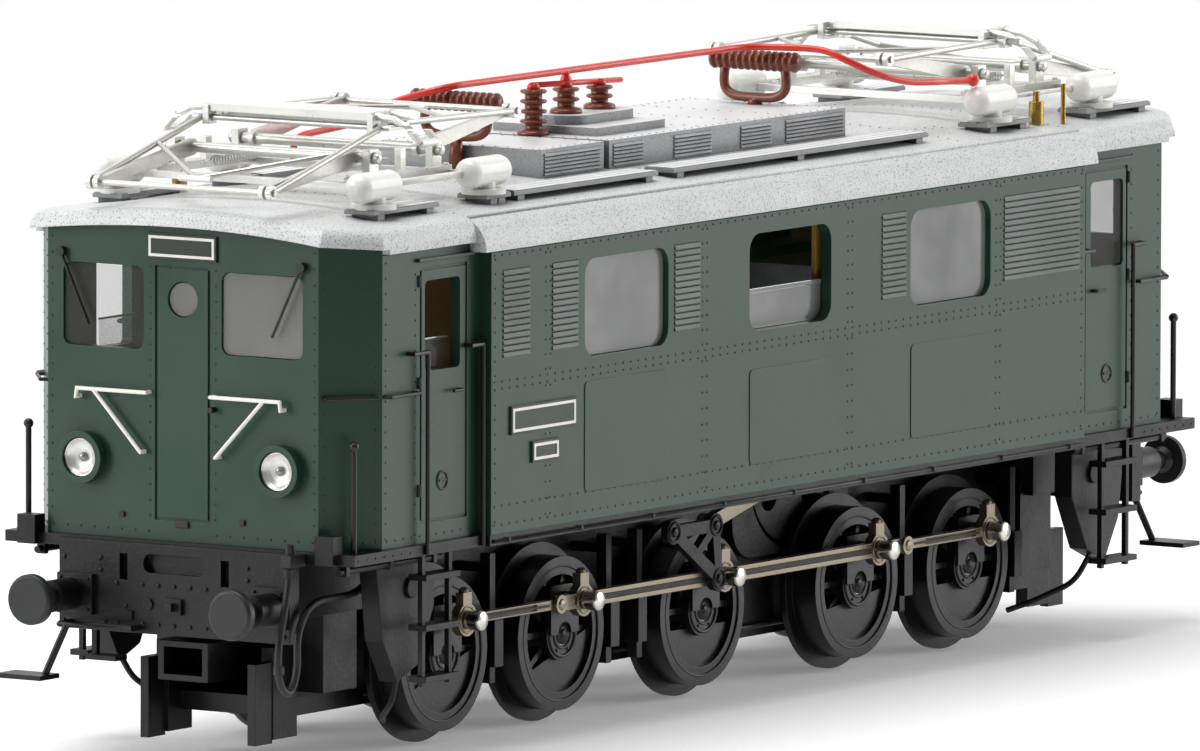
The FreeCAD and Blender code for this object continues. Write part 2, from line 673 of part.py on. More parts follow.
def shunter_steps():
    """A looped bar with a hanging tread plate at one corner of each end, and a small step beside it."""
    steps = []
    for end in ENDS:
        side = -end
        corners = [(d.beam_front, d.step_out), (d.step_x, d.step_out), (d.step_x, d.step_in),
                   (d.beam_front, d.step_in)]
        loop = wire_rod([(end * x, side * y, d.step_height) for x, y in corners], d.step_bar)
        hanger = strut((end * d.step_x, side * 9.8, d.step_height),
                       (end * 69.0, side * 11.4, d.tread_height + 0.2), d.hanger)
        tread = block((end * 67.8, side * 10.7, d.tread_height),
                      (end * 70.6, side * 15.2, d.tread_height + 0.4))
        steps.append(fuse([loop, hanger, tread]))
        drop = block((end * 65.9, side * 7.9, 8.5), (end * 66.4, side * 8.4, d.beam_low))
        small = block((end * 65.7, side * 5.3, 8.4), (end * 67.4, side * 8.4, 8.8))
        steps.append(fuse([drop, small]))
    return steps


def brake_hoses():
    """A stiff moulded air hose with its valve at one corner of each end."""
    route = [(67.5, 17.6), (67.5, 15.9), (69.2, 10.4), (68.9, 7.7), (67.4, 6.6), (66.2, 8.5),
             (66.3, 11.8), (64.3, 14.2), (57.3, 14.3), (d.hose_back, d.hose_turn)]
    hoses = []
    for end in ENDS:
        hose = wire_rod([(end * x, end * d.hose_y, z) for x, z in route], d.hose)
        tail = strut((end * d.hose_back, end * d.hose_y, d.hose_turn),
                     (end * d.hose_back, end * d.hose_y, d.deck_low), d.hose)
        valve = block((end * d.deck_x, end * (d.hose_y - d.valve_half), d.valve_low),
                      (end * d.valve_x, end * (d.hose_y + d.valve_half), d.valve_top))
        tap = cylinder(d.tap, d.tap_low, d.tap_top, (end * d.tap_x, end * d.hose_y), "z")
        hoses.append(fuse([hose, tail, valve, tap]))
    return group(hoses)


# ---------------------------------------------------------------- buffers and couplers

def buffer_housings():
    sleeves = []
    for end in ENDS:
        for side in SIDES:
            centre = (side * d.buffer_y, d.buffer_height)
            base = block((end * d.beam_front, side * d.base_in, d.buffer_height - d.base_height / 2),
                         (end * (d.beam_front + d.base_thick), side * d.base_out,
                          d.buffer_height + d.base_height / 2))
            mouth = end * (d.beam_front + d.sleeve_length)
            sleeve = cylinder(d.sleeve_radius, end * d.beam_front, mouth, centre, "x")
            bore = cylinder(d.sleeve_bore, mouth - end * d.sleeve_deep, mouth + end * 1.0, centre, "x")
            sleeves.append(cut(fuse([base, sleeve]), [bore]))
    return group(sleeves)


def buffer_plunger(end, side):
    """A round stem with a slightly domed head."""
    centre = (side * d.buffer_y, d.buffer_height)
    face = end * d.buffer_x
    back = end * (d.buffer_x - d.head_thick)
    stem = cylinder(d.stem_radius, end * (d.buffer_x - d.stem_length), back, centre, "x")
    head = cylinder(d.head_radius, back, face, centre, "x")
    rim = [d.head_radius.value]
    head = round_edges(head, dim(0.3), lambda edge: abs(edge.CenterOfMass.x - face.value) < 1e-6
                       and isinstance(edge.Curve, Part.Circle) and abs(edge.Curve.Radius - rim[0]) < 1e-6)
    return fuse([stem, head])


def coupler(end):
    """A coupler pocket on its swinging carrier."""
    shank = block((end * 57.6, -2.5, 6.9), (end * 65.2, 2.5, 10.2))
    tail = block((end * 50.6, -1.4, 8.2), (end * 57.8, 1.4, 9.6))
    eye = cylinder(2.0, 8.2, 9.6, (end * 50.4, 0), "z")
    pocket = block((end * 60.2, -1.93, 7.4), (end * 66, 1.93, 9.7))
    pin_hole = cylinder(0.85, 7, 11, (end * 50.4, 0), "z")
    return cut(fuse([shank, tail, eye]), [pocket, pin_hole])


# ---------------------------------------------------------------- wheels

def spoke(wheel_x, side, angle):
    """One spoke, a bar from the hub to the rim at an angle from straight up."""
    obj = doc.addObject("Part::Box", "Spoke")
    bind(obj, "Length", d.spoke_width)
    bind(obj, "Width", d.spoke_out - d.spoke_in)
    bind(obj, "Height", d.rim_inner)
    turn = FreeCAD.Rotation(Y_AXIS, angle)
    inner = d.spoke_in if side > 0 else -d.spoke_out
    corner = turn.multVec(FreeCAD.Vector(-d.spoke_width.value / 2, 0, 0.5))
    base = FreeCAD.Vector(wheel_x.value, inner.value, d.axle_height.value) + corner
    obj.Placement = FreeCAD.Placement(base, turn)
    return obj


def wheel_centre(wheel_x, side, crank_angle, tilt, spokes=10):
    """Rim, spokes, hub, crank boss and counterweight of one wheel."""
    centre = (wheel_x, d.axle_height)
    rim = tube(d.rim_radius, d.rim_inner, side * d.flange_out, side * (d.wheel_out - 0.1), centre)
    hub = cylinder(d.hub_radius, side * d.wheel_in, side * d.hub_out, centre)
    pieces = [rim, hub]
    for number in range(spokes):
        pieces.append(spoke(wheel_x, side, crank_angle + 18 + number * 360.0 / spokes))
    turn = FreeCAD.Rotation(Y_AXIS, crank_angle)
    boss = doc.addObject("Part::Box", "Boss")
    bind(boss, "Length", d.boss_width)
    bind(boss, "Width", d.boss_out - d.spoke_in)
    bind(boss, "Height", d.crank + d.boss_end)
    inner = d.spoke_in if side > 0 else -d.boss_out
    corner = turn.multVec(FreeCAD.Vector(-d.boss_width.value / 2, 0, 0))
    boss.Placement = FreeCAD.Placement(
        FreeCAD.Vector(wheel_x.value, inner.value, d.axle_height.value) + corner, turn)
    pieces.append(boss)
    weight_disc = cylinder(d.rim_inner + 0.1, side * d.weight_in, side * d.weight_out, centre)
    weight_turn = FreeCAD.Rotation(Y_AXIS, crank_angle + tilt)
    half = doc.addObject("Part::Box", "WeightSide")
    bind(half, "Length", d.flange_radius * 2)
    bind(half, "Width", d.wheel_out * 3)
    bind(half, "Height", d.flange_radius)
    drop = d.weight_edge.value + d.flange_radius.value
    corner = weight_turn.multVec(FreeCAD.Vector(-d.flange_radius.value, 0, -drop))
    base = FreeCAD.Vector(wheel_x.value, -d.wheel_out.value * 1.5, d.axle_height.value)
    half.Placement = FreeCAD.Placement(base + corner, weight_turn)
    pieces.append(common(weight_disc, half))
    pin_x, pin_z = crank_point(wheel_x, crank_angle)
    tools = [cylinder(d.axle_radius, -20, 20, centre),
             cylinder(d.pin_radius, side * 8, side * 20, (pin_x, pin_z))]
    return cut(fuse(pieces), tools)


def crank_point(wheel_x, crank_angle):
    """The centre of a crank pin at an angle from straight up, turned about +Y."""
    across = round(math.sin(math.radians(crank_angle)), 9)
    upward = round(math.cos(math.radians(crank_angle)), 9)
    return wheel_x + d.crank * across, d.axle_height + d.crank * upward


def tyre(wheel_x, side):
    centre = (wheel_x, d.axle_height)
    tread = cylinder(d.tread_radius, side * d.wheel_in, side * d.wheel_out, centre)
    flange = cylinder(d.flange_radius, side * d.wheel_in, side * d.flange_out, centre)
    bore = cylinder(d.rim_radius, -20, 20, centre)
    return cut(fuse([tread, flange]), [bore])


# the right side (-Y) has its cranks up, the left side leads by a quarter turn
CRANK_ANGLE = {-1: 0, 1: 90}
TILTS = [17.0, 18.6, 0.0, 7.0, 0.0]


def wheels(number):
    wheel_x = WHEELS_X[number]
    solids = []
    for side in SIDES:
        solids.append(wheel_centre(wheel_x, side, CRANK_ANGLE[side], -TILTS[number]))
        solids.append(tyre(wheel_x, side))
    return group(solids)


def axle(wheel_x):
    """The axle with its two crank pins."""
    solids = [cylinder(d.axle_radius, -d.hub_out, d.hub_out, (wheel_x, d.axle_height))]
    for side in SIDES:
        centre = crank_point(wheel_x, CRANK_ANGLE[side])
        pin = cylinder(d.pin_radius, side * (d.spoke_in + 0.3), side * d.pin_head_in, centre)
        head = cylinder(d.pin_head_radius, side * d.pin_head_in, side * d.pin_end, centre)
        solids.append(fuse([pin, head]))
    return group(solids)


# ---------------------------------------------------------------- rods

def rod(side, start, end, height, centre_z, bores):
    """A flat rod with an eye round each bore, a flute along its face and an oil cup on each eye."""
    inner, outer = side * d.rod_in, side * d.rod_out
    pieces = [block((start, inner, centre_z - height / 2), (end, outer, centre_z + height / 2))]
    flute = block((start + 2.4, outer - side * d.flute_deep, centre_z - d.flute_height / 2),
                  (end - 2.4, outer + side * 1.0, centre_z + d.flute_height / 2))
    tools = [flute]
    for bore_x in bores:
        pieces.append(cylinder(d.eye_radius, inner, outer, (bore_x, centre_z)))
        pieces.append(block((bore_x - d.oiler / 2, inner, centre_z),
                            (bore_x + d.oiler / 2, outer, centre_z + d.oiler_rise)))
        tools.append(cylinder(d.rod_bore, side * 11, side * 14, (bore_x, centre_z)))
    return cut(fuse(pieces), tools)


def coupling_rods(side):
    """End rod, long middle rod and end rod, joined at knuckles beyond the second and fourth pins."""
    pins = [crank_point(wheel_x, CRANK_ANGLE[side]) for wheel_x in WHEELS_X]
    height = pins[0][1]
    first_knuckle = pins[1][0] - d.knuckle
    last_knuckle = pins[3][0] + d.knuckle
    middle = rod(side, first_knuckle + 0.1, last_knuckle - 0.1, d.rod_height, height,
                 [pins[1][0], pins[2][0], pins[3][0]])
    front = rod(side, pins[0][0], first_knuckle - 0.9, d.end_rod_height, height, [pins[0][0]])
    rear = rod(side, last_knuckle + 0.9, pins[4][0], d.end_rod_height, height, [pins[4][0]])
    solids = [middle, front, rear]
    for knuckle_x in (first_knuckle, last_knuckle):
        fork = cylinder(0.8, side * d.rod_out, side * (d.rod_out + 0.35), (knuckle_x, height))
        link = block((knuckle_x - 0.9, side * (d.rod_in + 0.1), height - 0.35),
                     (knuckle_x + 0.1, side * (d.rod_out - 0.1), height + 0.35))
        solids.append(link)
        solids.append(cut(fork, [cylinder(0.3, -20, 20, (knuckle_x, height))]))
    return solids


def frame_corners(side):
    """The two upper corners and the lower corner of the triangular frame, and its crank pin."""
    pin_x, pin_z = crank_point(d.wheel_x3, CRANK_ANGLE[side])
    corner_a = (pin_x + d.frame_a_x, pin_z + d.frame_a_z)
    corner_b = (pin_x + d.frame_b_x, pin_z + d.frame_b_z)
    corner_c = (pin_x + d.frame_c_x, pin_z)
    return corner_a, corner_b, corner_c, (pin_x, pin_z)


def drive_frame(side):
    """The triangular frame carried by the third crank pin."""
    corner_a, corner_b, corner_c, (pin_x, pin_z) = frame_corners(side)
    inner, outer = side * d.frame_in, side * d.frame_out
    pieces = [cylinder(d.frame_boss, inner, outer, corner) for corner in (corner_a, corner_b, corner_c)]
    for one, two in ((corner_a, corner_b), (corner_b, corner_c), (corner_a, corner_c)):
        pieces.append(flat_bar(one, two, d.frame_bar, inner, outer))
    foot = flat_bar(corner_c, (pin_x - d.pin_head_radius - 0.5, pin_z), d.frame_bar, inner, outer)
    pieces.append(foot)
    brace = flat_bar(corner_b, ((corner_a[0] + corner_c[0]) / 2, (corner_a[1] + corner_c[1]) / 2),
                     d.frame_bar * 0.7, inner, outer)
    pieces.append(brace)
    return fuse(pieces)


def drive_rod(side):
    """The rod from the triangular frame to the jackshaft's crank."""
    corner_b = frame_corners(side)[1]
    jack_x, jack_z = jack_pin(side)
    rod_in, rod_out = side * d.rod_in, side * d.rod_out
    bar = flat_bar(corner_b, (jack_x, jack_z), d.rod_height, rod_in, rod_out)
    eyes = [cylinder(d.eye_radius, rod_in, rod_out, (jack_x, jack_z)),
            cylinder(1.0, rod_in, rod_out, corner_b)]
    return cut(fuse([bar] + eyes), [cylinder(d.rod_bore, side * 11, side * 14, (jack_x, jack_z))])


def flat_bar(one, two, width, inner, outer):
    """A bar of rectangular section in an XZ plane, between two points."""
    one = (dim(one[0]), dim(one[1]))
    two = (dim(two[0]), dim(two[1]))
    inner, outer = dim(inner), dim(outer)
    if inner.value > outer.value:
        inner, outer = outer, inner
    run = FreeCAD.Vector(two[0].value - one[0].value, 0, two[1].value - one[1].value)
    obj = doc.addObject("Part::Box", "FlatBar")
    obj.Length = run.Length
    bind(obj, "Width", outer - inner)
    bind(obj, "Height", width)
    turn = FreeCAD.Rotation(X_AXIS, run)
    corner = turn.multVec(FreeCAD.Vector(0, 0, -dim(width).value / 2))
    base = FreeCAD.Vector(one[0].value, inner.value, one[1].value)
    obj.Placement = FreeCAD.Placement(base + corner, turn)
    return obj


# ---------------------------------------------------------------- jackshaft and motor

def jack_pin(side):
    return crank_point_at(d.jack_x, d.jack_height, CRANK_ANGLE[side])


def crank_point_at(centre_x, centre_z, crank_angle):
    across = round(math.sin(math.radians(crank_angle)), 9)
    upward = round(math.cos(math.radians(crank_angle)), 9)
    return centre_x + d.crank * across, centre_z + d.crank * upward


def jackshaft():
    """Shaft, two balance discs in the cases, two crank arms with pins and the worm wheel."""
    centre = (d.jack_x, d.jack_height)
    pieces = [cylinder(d.axle_radius, -d.jack_arm_out, d.jack_arm_out, centre)]
    for side in SIDES:
        disc = cylinder(d.jack_disc, side * d.jack_disc_in, side * d.jack_disc_out, centre)
        windows = []
        for number in range(3):
            angle = math.radians(120 * number + 90)
            hole_x = d.jack_x + 3.7 * math.cos(angle)
            hole_z = d.jack_height + 3.7 * math.sin(angle)
            windows.append(cylinder(1.3, side * 5, side * 8, (hole_x, hole_z)))
        pieces.append(cut(disc, windows))
        pin = jack_pin(side)
        arm = flat_bar(centre, pin, d.frame_bar * 2, side * d.jack_arm_in, side * d.jack_arm_out)
        pieces.append(arm)
        pieces.append(cylinder(1.4, side * d.jack_arm_in, side * d.jack_arm_out, centre))
        pieces.append(cylinder(1.2, side * d.jack_arm_in, side * d.jack_arm_out, pin))
        pieces.append(cylinder(d.pin_radius, side * d.jack_arm_out, side * d.pin_head_in, pin))
        head_end = side * (d.pin_head_in + 0.4)
        pieces.append(cylinder(d.pin_head_radius, side * d.pin_head_in, head_end, pin))
    return fuse(pieces)


def worm_wheel():
    """A toothed wheel pressed on the jackshaft."""
    centre = (d.jack_x, d.jack_height)
    pieces = [cylinder(d.gear_root, -d.gear_half, d.gear_half, centre)]
    teeth = int(SIZES["gear_teeth"])
    for number in range(teeth):
        turn = FreeCAD.Rotation(Y_AXIS, (number + 0.5) * 360.0 / teeth)
        tooth = doc.addObject("Part::Box", "Tooth")
        bind(tooth, "Length", d.tooth_width)
        bind(tooth, "Width", d.gear_half * 2)
        bind(tooth, "Height", d.gear_tip - d.gear_root + 0.3)
        corner = turn.multVec(FreeCAD.Vector(-d.tooth_width.value / 2, 0, d.gear_root.value - 0.3))
        base = FreeCAD.Vector(d.jack_x.value, -d.gear_half.value, d.jack_height.value)
        tooth.Placement = FreeCAD.Placement(base + corner, turn)
        pieces.append(tooth)
    return cut(fuse(pieces), [cylinder(d.axle_radius, -20, 20, centre)])


def motor_can():
    """A round can with an end plate and a bearing hole at each end."""
    axis = (0, d.rotor_height)
    can = cylinder(d.motor_radius, d.motor_x0, d.motor_x1, axis, "x")
    hollow = cylinder(d.motor_bore, d.motor_x0 + d.motor_end, d.motor_x1 - d.motor_end, axis, "x")
    bearing = cylinder(d.shaft_radius + d.bearing_gap, -40, 40, axis, "x")
    return cut(can, [hollow, bearing])


def motor_rotor():
    """The long shaft with armature, flywheel and worm."""
    axis = (0, d.rotor_height)
    gap = d.motor_end + d.armature_gap
    pieces = [
        cylinder(d.shaft_radius, d.shaft_x0, d.shaft_x1, axis, "x"),
        cylinder(d.armature_radius, d.motor_x0 + gap, d.motor_x1 - gap, axis, "x"),
        cylinder(d.flywheel_radius, d.flywheel_x0, d.flywheel_x1, axis, "x"),
        cylinder(d.worm_radius, d.jack_x - d.worm_half, d.jack_x + d.worm_half, axis, "x"),
    ]
    grooves = []
    for number in range(5):
        groove_x = d.jack_x - 2.6 + number * 1.26
        grooves.append(tube(2.5, 1.2, groove_x, groove_x + 0.4, axis, "x"))
    return cut(fuse(pieces), grooves)


def circuit_board():
    board = block((-d.board_x, -d.board_half, d.board_low), (d.board_x, d.board_half, d.board_top))
    legs = []
    for leg_x in (-d.board_x + 1, d.board_x - 1 - d.leg_long):
        for side in SIDES:
            legs.append(block((leg_x, side * d.leg_y, d.leg_foot),
                              (leg_x + d.leg_long, side * (d.leg_y + d.leg_thick), d.board_low)))
    chips = [block((-8, -3, d.board_top), (6, 4, d.board_top + 1.6)),
             block((12, -5, d.board_top), (20, 5, d.board_top + 1.2)),
             block((-24, -4, d.board_top), (-14, 4, d.board_top + 1.4))]
    return fuse([board] + legs + chips)


def ballast_weights():
    """Two cast blocks at the ends of the chassis that also carry the circuit board."""
    front = block((-d.ballast_out, -d.ballast_half, d.deck_low),
                  (-d.ballast_front_in, d.ballast_half, d.ballast_top))
    pocket = block((-33, 1 - d.ballast_half, 17), (-29, d.ballast_half - 1, d.ballast_top - 1))
    front = cut(front, [pocket])
    rear = block((d.ballast_rear_in, -d.ballast_half, d.deck_low),
                 (d.ballast_out, d.ballast_half, d.ballast_top))
    legs = [block((-31, side * d.leg_y, d.ballast_top - 1), (-27, side * 9.4, d.ballast_top))
            for side in SIDES]
    return group([fuse([front] + legs), rear])


def body_screws():
    """Four screws that hold the deck to the chassis."""
    screws = []
    for end in ENDS:
        for side in SIDES:
            middle = (end * d.screw_x, side * d.screw_y)
            head = cylinder(d.screw_head, d.screw_low, d.screw_seat, middle, "z")
            shank = cylinder(d.screw_shank, d.screw_seat, d.screw_end, middle, "z")
            screws.append(fuse([head, shank]))
    return group(screws)


# ---------------------------------------------------------------- fittings on the body

def headlamp_rims():
    """The rings round the headlamps."""
    rims = []
    for end in ENDS:
        for side in SIDES:
            middle = (side * d.lamp_y, d.lamp_height)
            front = end * (d.front_x + d.lamp_deep)
            rims.append(tube(d.lamp_ring, d.lamp_bore, end * d.front_x, front, middle, "x"))
    return group(rims)


def headlamp_lenses():
    """The round lenses inside the headlamp rings."""
    lenses = []
    for end in ENDS:
        for side in SIDES:
            middle = (side * d.lamp_y, d.lamp_height)
            front = end * (d.front_x + d.lens_deep)
            lenses.append(cylinder(d.lens_radius, end * d.front_x, front, middle, "x"))
    return group(lenses)


def number_plates():
    """Blank plates on the two ends and the two sides."""
    plates = []
    for end in ENDS:
        plates.append(block((end * d.front_x, -3.5, 42.1), (end * (d.front_x + 0.2), 3.5, 44.25)))
    for side in SIDES:
        for x0, x1, z0, z1 in ((-43.7, -33.8, 26.7, 29.1), (-40.5, -36.4, 24.1, 25.9)):
            plates.append(block((side * -x0, side * d.room_half, z0),
                                (side * -x1, side * (d.room_half + 0.2), z1)))
    return group(plates)


def window_wipers():
    wipers = []
    for end in ENDS:
        for side in SIDES:
            pivot = cylinder(0.4, end * d.front_x, end * (d.front_x + 0.5), (side * 12.1, 42.2), "x")
            arm = strut((end * (d.front_x + 0.35), side * 12.1, 42.2),
                        (end * (d.front_x + 0.35), side * 9.2, 36.2), dim(0.13))
            wipers.append(fuse([pivot, arm]))
    return group(wipers)


def front_handrails():
    """White rails in a V below each front window."""
    rails = []
    for end in ENDS:
        out = end * (d.front_x + 0.7)
        for side in SIDES:
            top = wire_rod([(end * d.front_x, side * 10.3, 30.2), (out, side * 10.3, 30.2),
                            (out, side * 10.2, 30.9), (out, side * 3.3, 30.9),
                            (end * d.front_x, side * 3.3, 30.9)], dim(0.17))
            slant = wire_rod([(out, side * 8.6, 30.9), (out, side * 3.8, 25.9),
                              (end * d.front_x, side * 3.8, 25.9)], dim(0.17))
            rails.append(fuse([top, slant]))
    return group(rails)


def handrails():
    """Door handrails, short rails round each cab corner and the four corner posts with knobs."""
    rails = []
    for side in SIDES:
        for end in ENDS:
            out = side * (d.deck_half + 0.2)
            wall = side * d.cab_half
            for rail_x, top_x in ((55.2, 57.2), (46.9, 48.6)):
                points = [(end * top_x, wall, d.rail_top), (end * top_x, out, d.rail_top),
                          (end * rail_x, out, d.rail_top), (end * rail_x, out, d.deck_low + 0.1)]
                rails.append(wire_rod(points, dim(0.2)))
            side_rail = [(60.6, wall), (60.6, out), (56.4, out), (56.4, wall)]
            rails.append(wire_rod([(end * x, y, 31.3) for x, y in side_rail], dim(0.16)))
            corner_rail = [(64.87, 13.93), (65.24, 14.40), (61.80, 17.14), (61.43, 16.67)]
            rails.append(wire_rod([(end * x, side * y, 31.3) for x, y in corner_rail], dim(0.16)))
            post = cylinder(0.25, d.body_low, 27.3, (end * 64.1, side * 16.4), "z")
            rails.append(fuse([post, ball((end * 64.1, side * 16.4, 27.4), dim(0.42))]))
    return group(rails)


# ---------------------------------------------------------------- roof equipment

WHITE_X = (-56.0, -39.6, 39.6, 56.0)


def base_insulators():
    """Porcelain insulators under the pantograph frames: foot, stem and a lying drum with round ends."""
    pieces = []
    for foot_x in WHITE_X:
        for side in SIDES:
            foot_y = side * d.insulator_y
            foot = cylinder(1.9, BOARD_TOP, BOARD_TOP + 0.45, (foot_x, foot_y), "z")
            stem = cylinder(1.0, BOARD_TOP, d.drum_height, (foot_x, foot_y), "z")
            drum = cylinder(d.drum_radius, foot_x - d.drum_half, foot_x + d.drum_half,
                            (foot_y, d.drum_height), "x")
            drum = round_edges(drum, d.drum_round, lambda edge: len(edge.Vertexes) == 1)
            pieces.append(fuse([foot, stem, drum]))
    return group(pieces)


def brown_insulators():
    """Three ribbed post insulators and two ribbed coils on looped feet."""
    pieces = []
    for stack_x, low, high, ribs in ((-12.6, 48.5, 52.4, 5), (-7.6, 50.0, 52.2, 3), (-2.4, 50.0, 52.0, 3)):
        stem = cylinder(0.75, low, high, (stack_x, 0), "z")
        discs = []
        for number in range(ribs):
            disc_z = low + 0.15 + number * (high - low - 0.5) / (ribs - 1)
            radius = 1.35 if number == 0 else 1.12
            discs.append(cylinder(radius, disc_z, disc_z + 0.3, (stack_x, 0), "z"))
        pieces.append(fuse([stem] + discs))
    for coil_x, foot_low, low in ((-24.4, d.roof_top, 49.3), (22.0, dim(48.5), 49.1)):
        coil_z = 52.3
        core = cylinder(0.62, -4.4, 4.4, (coil_x, coil_z))
        ribs = []
        for number in range(13):
            rib_y = -4.3 + number * 0.68
            ribs.append(cylinder(0.85, rib_y, rib_y + 0.42, (coil_x, coil_z)))
        loop_places = ((-3.0, coil_z), (-3.3, low + 0.8), (-2.2, low),
                       (2.2, low), (3.3, low + 0.8), (3.0, coil_z))
        loop = wire_rod([(coil_x, y, z) for y, z in loop_places], dim(0.42))
        foot = cylinder(0.6, foot_low, low, (coil_x, 0), "z")
        pieces.append(fuse([core, loop, foot] + ribs))
    return group(pieces)


def busbar():
    """The red high-voltage bar between the pantographs and the short bar on the post insulators."""
    main_route = [(-40.6, 5.6, 48.3), (-40.6, 5.6, 50.2), (-30.4, 6.3, 50.5), (-27.4, 5.2, 52.0),
                  (-25.9, 0.0, 53.6),
                  (20.6, 0.0, 53.6), (22.6, -6.4, 53.6), (23.0, -8.3, 52.8), (25.4, -10.4, 51.3),
                  (29.0, -11.4, 50.4), (37.0, -12.6, 50.1)]
    main = wire_rod(main_route, dim(0.3))
    knob = ball((37.2, -12.6, 50.1), dim(0.55))
    drop = cylinder(0.45, 52.4, 53.5, (-7.6, 0), "z")
    short = strut((-12.9, 0, 52.75), (0.9, 0, 52.2), dim(0.25))
    cap_places = ((-12.6, 52.4), (-7.6, 52.2), (-2.4, 52.0))
    caps = [cylinder(0.5, low, low + 0.5, (cap_x, 0), "z") for cap_x, low in cap_places]
    return group([fuse([main, knob, drop, short] + caps)])


def brass_fittings():
    """A small valve and a rod post beside the rear pantograph, and a valve beside the front one."""
    valve = fuse([cylinder(0.65, 44.9, 47.6, (46.2, -13.4), "z"),
                  cylinder(0.3, 47.6, 48.5, (46.2, -13.4), "z")])
    post = cylinder(0.22, 44.7, 49.0, (49.0, -14.4), "z")
    far_valve = fuse([cylinder(0.65, 44.9, 47.2, (-46.2, 13.4), "z"),
                      cylinder(0.3, 47.2, 48.0, (-46.2, 13.4), "z")])
    return group([cut(piece, [arch(d.roof_top)]) for piece in (valve, post, far_valve)])


# ---------------------------------------------------------------- pantographs

def pantograph_bases():
    """Welded frames on the insulators, with the bearings of the two arm shafts."""
    frames = []
    for end in ENDS:
        pieces = []
        for cross_x in (end * 55.0, end * 40.6):
            pieces.append(block((cross_x - 0.35, -11.62, 47.7), (cross_x + 0.35, 11.62, 48.3)))
        for side in SIDES:
            rail = block((end * 55.3, side * (d.rail_y - 0.4), 48.0),
                         (end * 40.3, side * (d.rail_y + 0.4), 48.7))
            pieces.append(rail)
            for shaft_x in (end * d.panto_out_x, end * d.panto_in_x):
                low = (shaft_x - 0.7, side * (d.rail_y - d.post_thick / 2), 48.5)
                high = (shaft_x + 0.7, side * (d.rail_y + d.post_thick / 2), d.panto_height + 0.75)
                pieces.append(block(low, high))
            pieces.append(block((end * 47.1, side * (d.rail_y - 0.3), 48.5),
                                (end * 47.9, side * (d.rail_y + 0.3), 50.6)))
        holes = []
        for shaft_x in (end * d.panto_out_x, end * d.panto_in_x):
            holes.append(cylinder(d.panto_shaft + d.bearing_gap, -20, 20, (shaft_x, d.panto_height)))
        frames.append(cut(fuse(pieces), holes))
    return group(frames)


def lower_arm(end, base_x, knee_x, knee_z):
    """A shaft, two tapered side arms and the knee pin."""
    base = (end * base_x, d.panto_height)
    knee = (end * knee_x, knee_z)
    pieces = [cylinder(d.panto_shaft, -d.shaft_end, d.shaft_end, base)]
    pieces.append(cylinder(d.knee_pin, -d.head_y + 0.1, d.head_y - 0.1, knee))
    for side in SIDES:
        inner = side * (d.arm_y - d.arm_thick / 2)
        outer = side * (d.arm_y + d.arm_thick / 2)
        run_x = (knee[0] - base[0]).value
        run_z = (knee[1] - base[1]).value
        length = math.hypot(run_x, run_z)
        up_x, up_z = -run_z / length, run_x / length
        wide, narrow = d.arm_wide.value, d.arm_narrow.value
        outline = [(base[0] + up_x * wide, base[1] + up_z * wide),
                   (base[0] - up_x * wide, base[1] - up_z * wide),
                   (knee[0] - up_x * narrow, knee[1] - up_z * narrow),
                   (knee[0] + up_x * narrow, knee[1] + up_z * narrow)]
        low = inner if inner.value < outer.value else outer
        high = outer if inner.value < outer.value else inner
        pieces.append(prism(outline, low, high, "XZ"))
        pieces.append(cylinder(d.eye, inner, outer, knee))
        pieces.append(cylinder(d.arm_wide, inner, outer, base))
    return fuse(pieces)


def upper_arm(end, knee_x, knee_z, head_x, head_z):
    """Two tubes from the knee eyes to the head tube, with cross tubes and a brace."""
    knee = (end * knee_x, knee_z)
    head = (end * head_x, head_z)

    def along(share, y):
        return (knee[0] + (head[0] - knee[0]) * share, y, knee[1] + (head[1] - knee[1]) * share)

    pieces = [cylinder(d.knee_pin, -d.head_y - 0.3, d.head_y + 0.3, head)]
    for side in SIDES:
        pieces.append(strut(along(0.0, side * d.upper_y), along(1.0, side * d.upper_y), d.tube))
        pieces.append(cylinder(d.eye, side * (d.upper_y - 0.25), side * (d.upper_y + 0.25), knee))
        pieces.append(strut(along(0.13, 0), along(0.6, side * d.upper_y), d.tube * 0.75))
    pieces.append(strut(along(0.13, -1.6), along(0.13, 1.6), d.tube))
    bores = [cylinder(d.knee_pin + d.bearing_gap, -20, 20, knee)]
    return cut(fuse(pieces), bores)


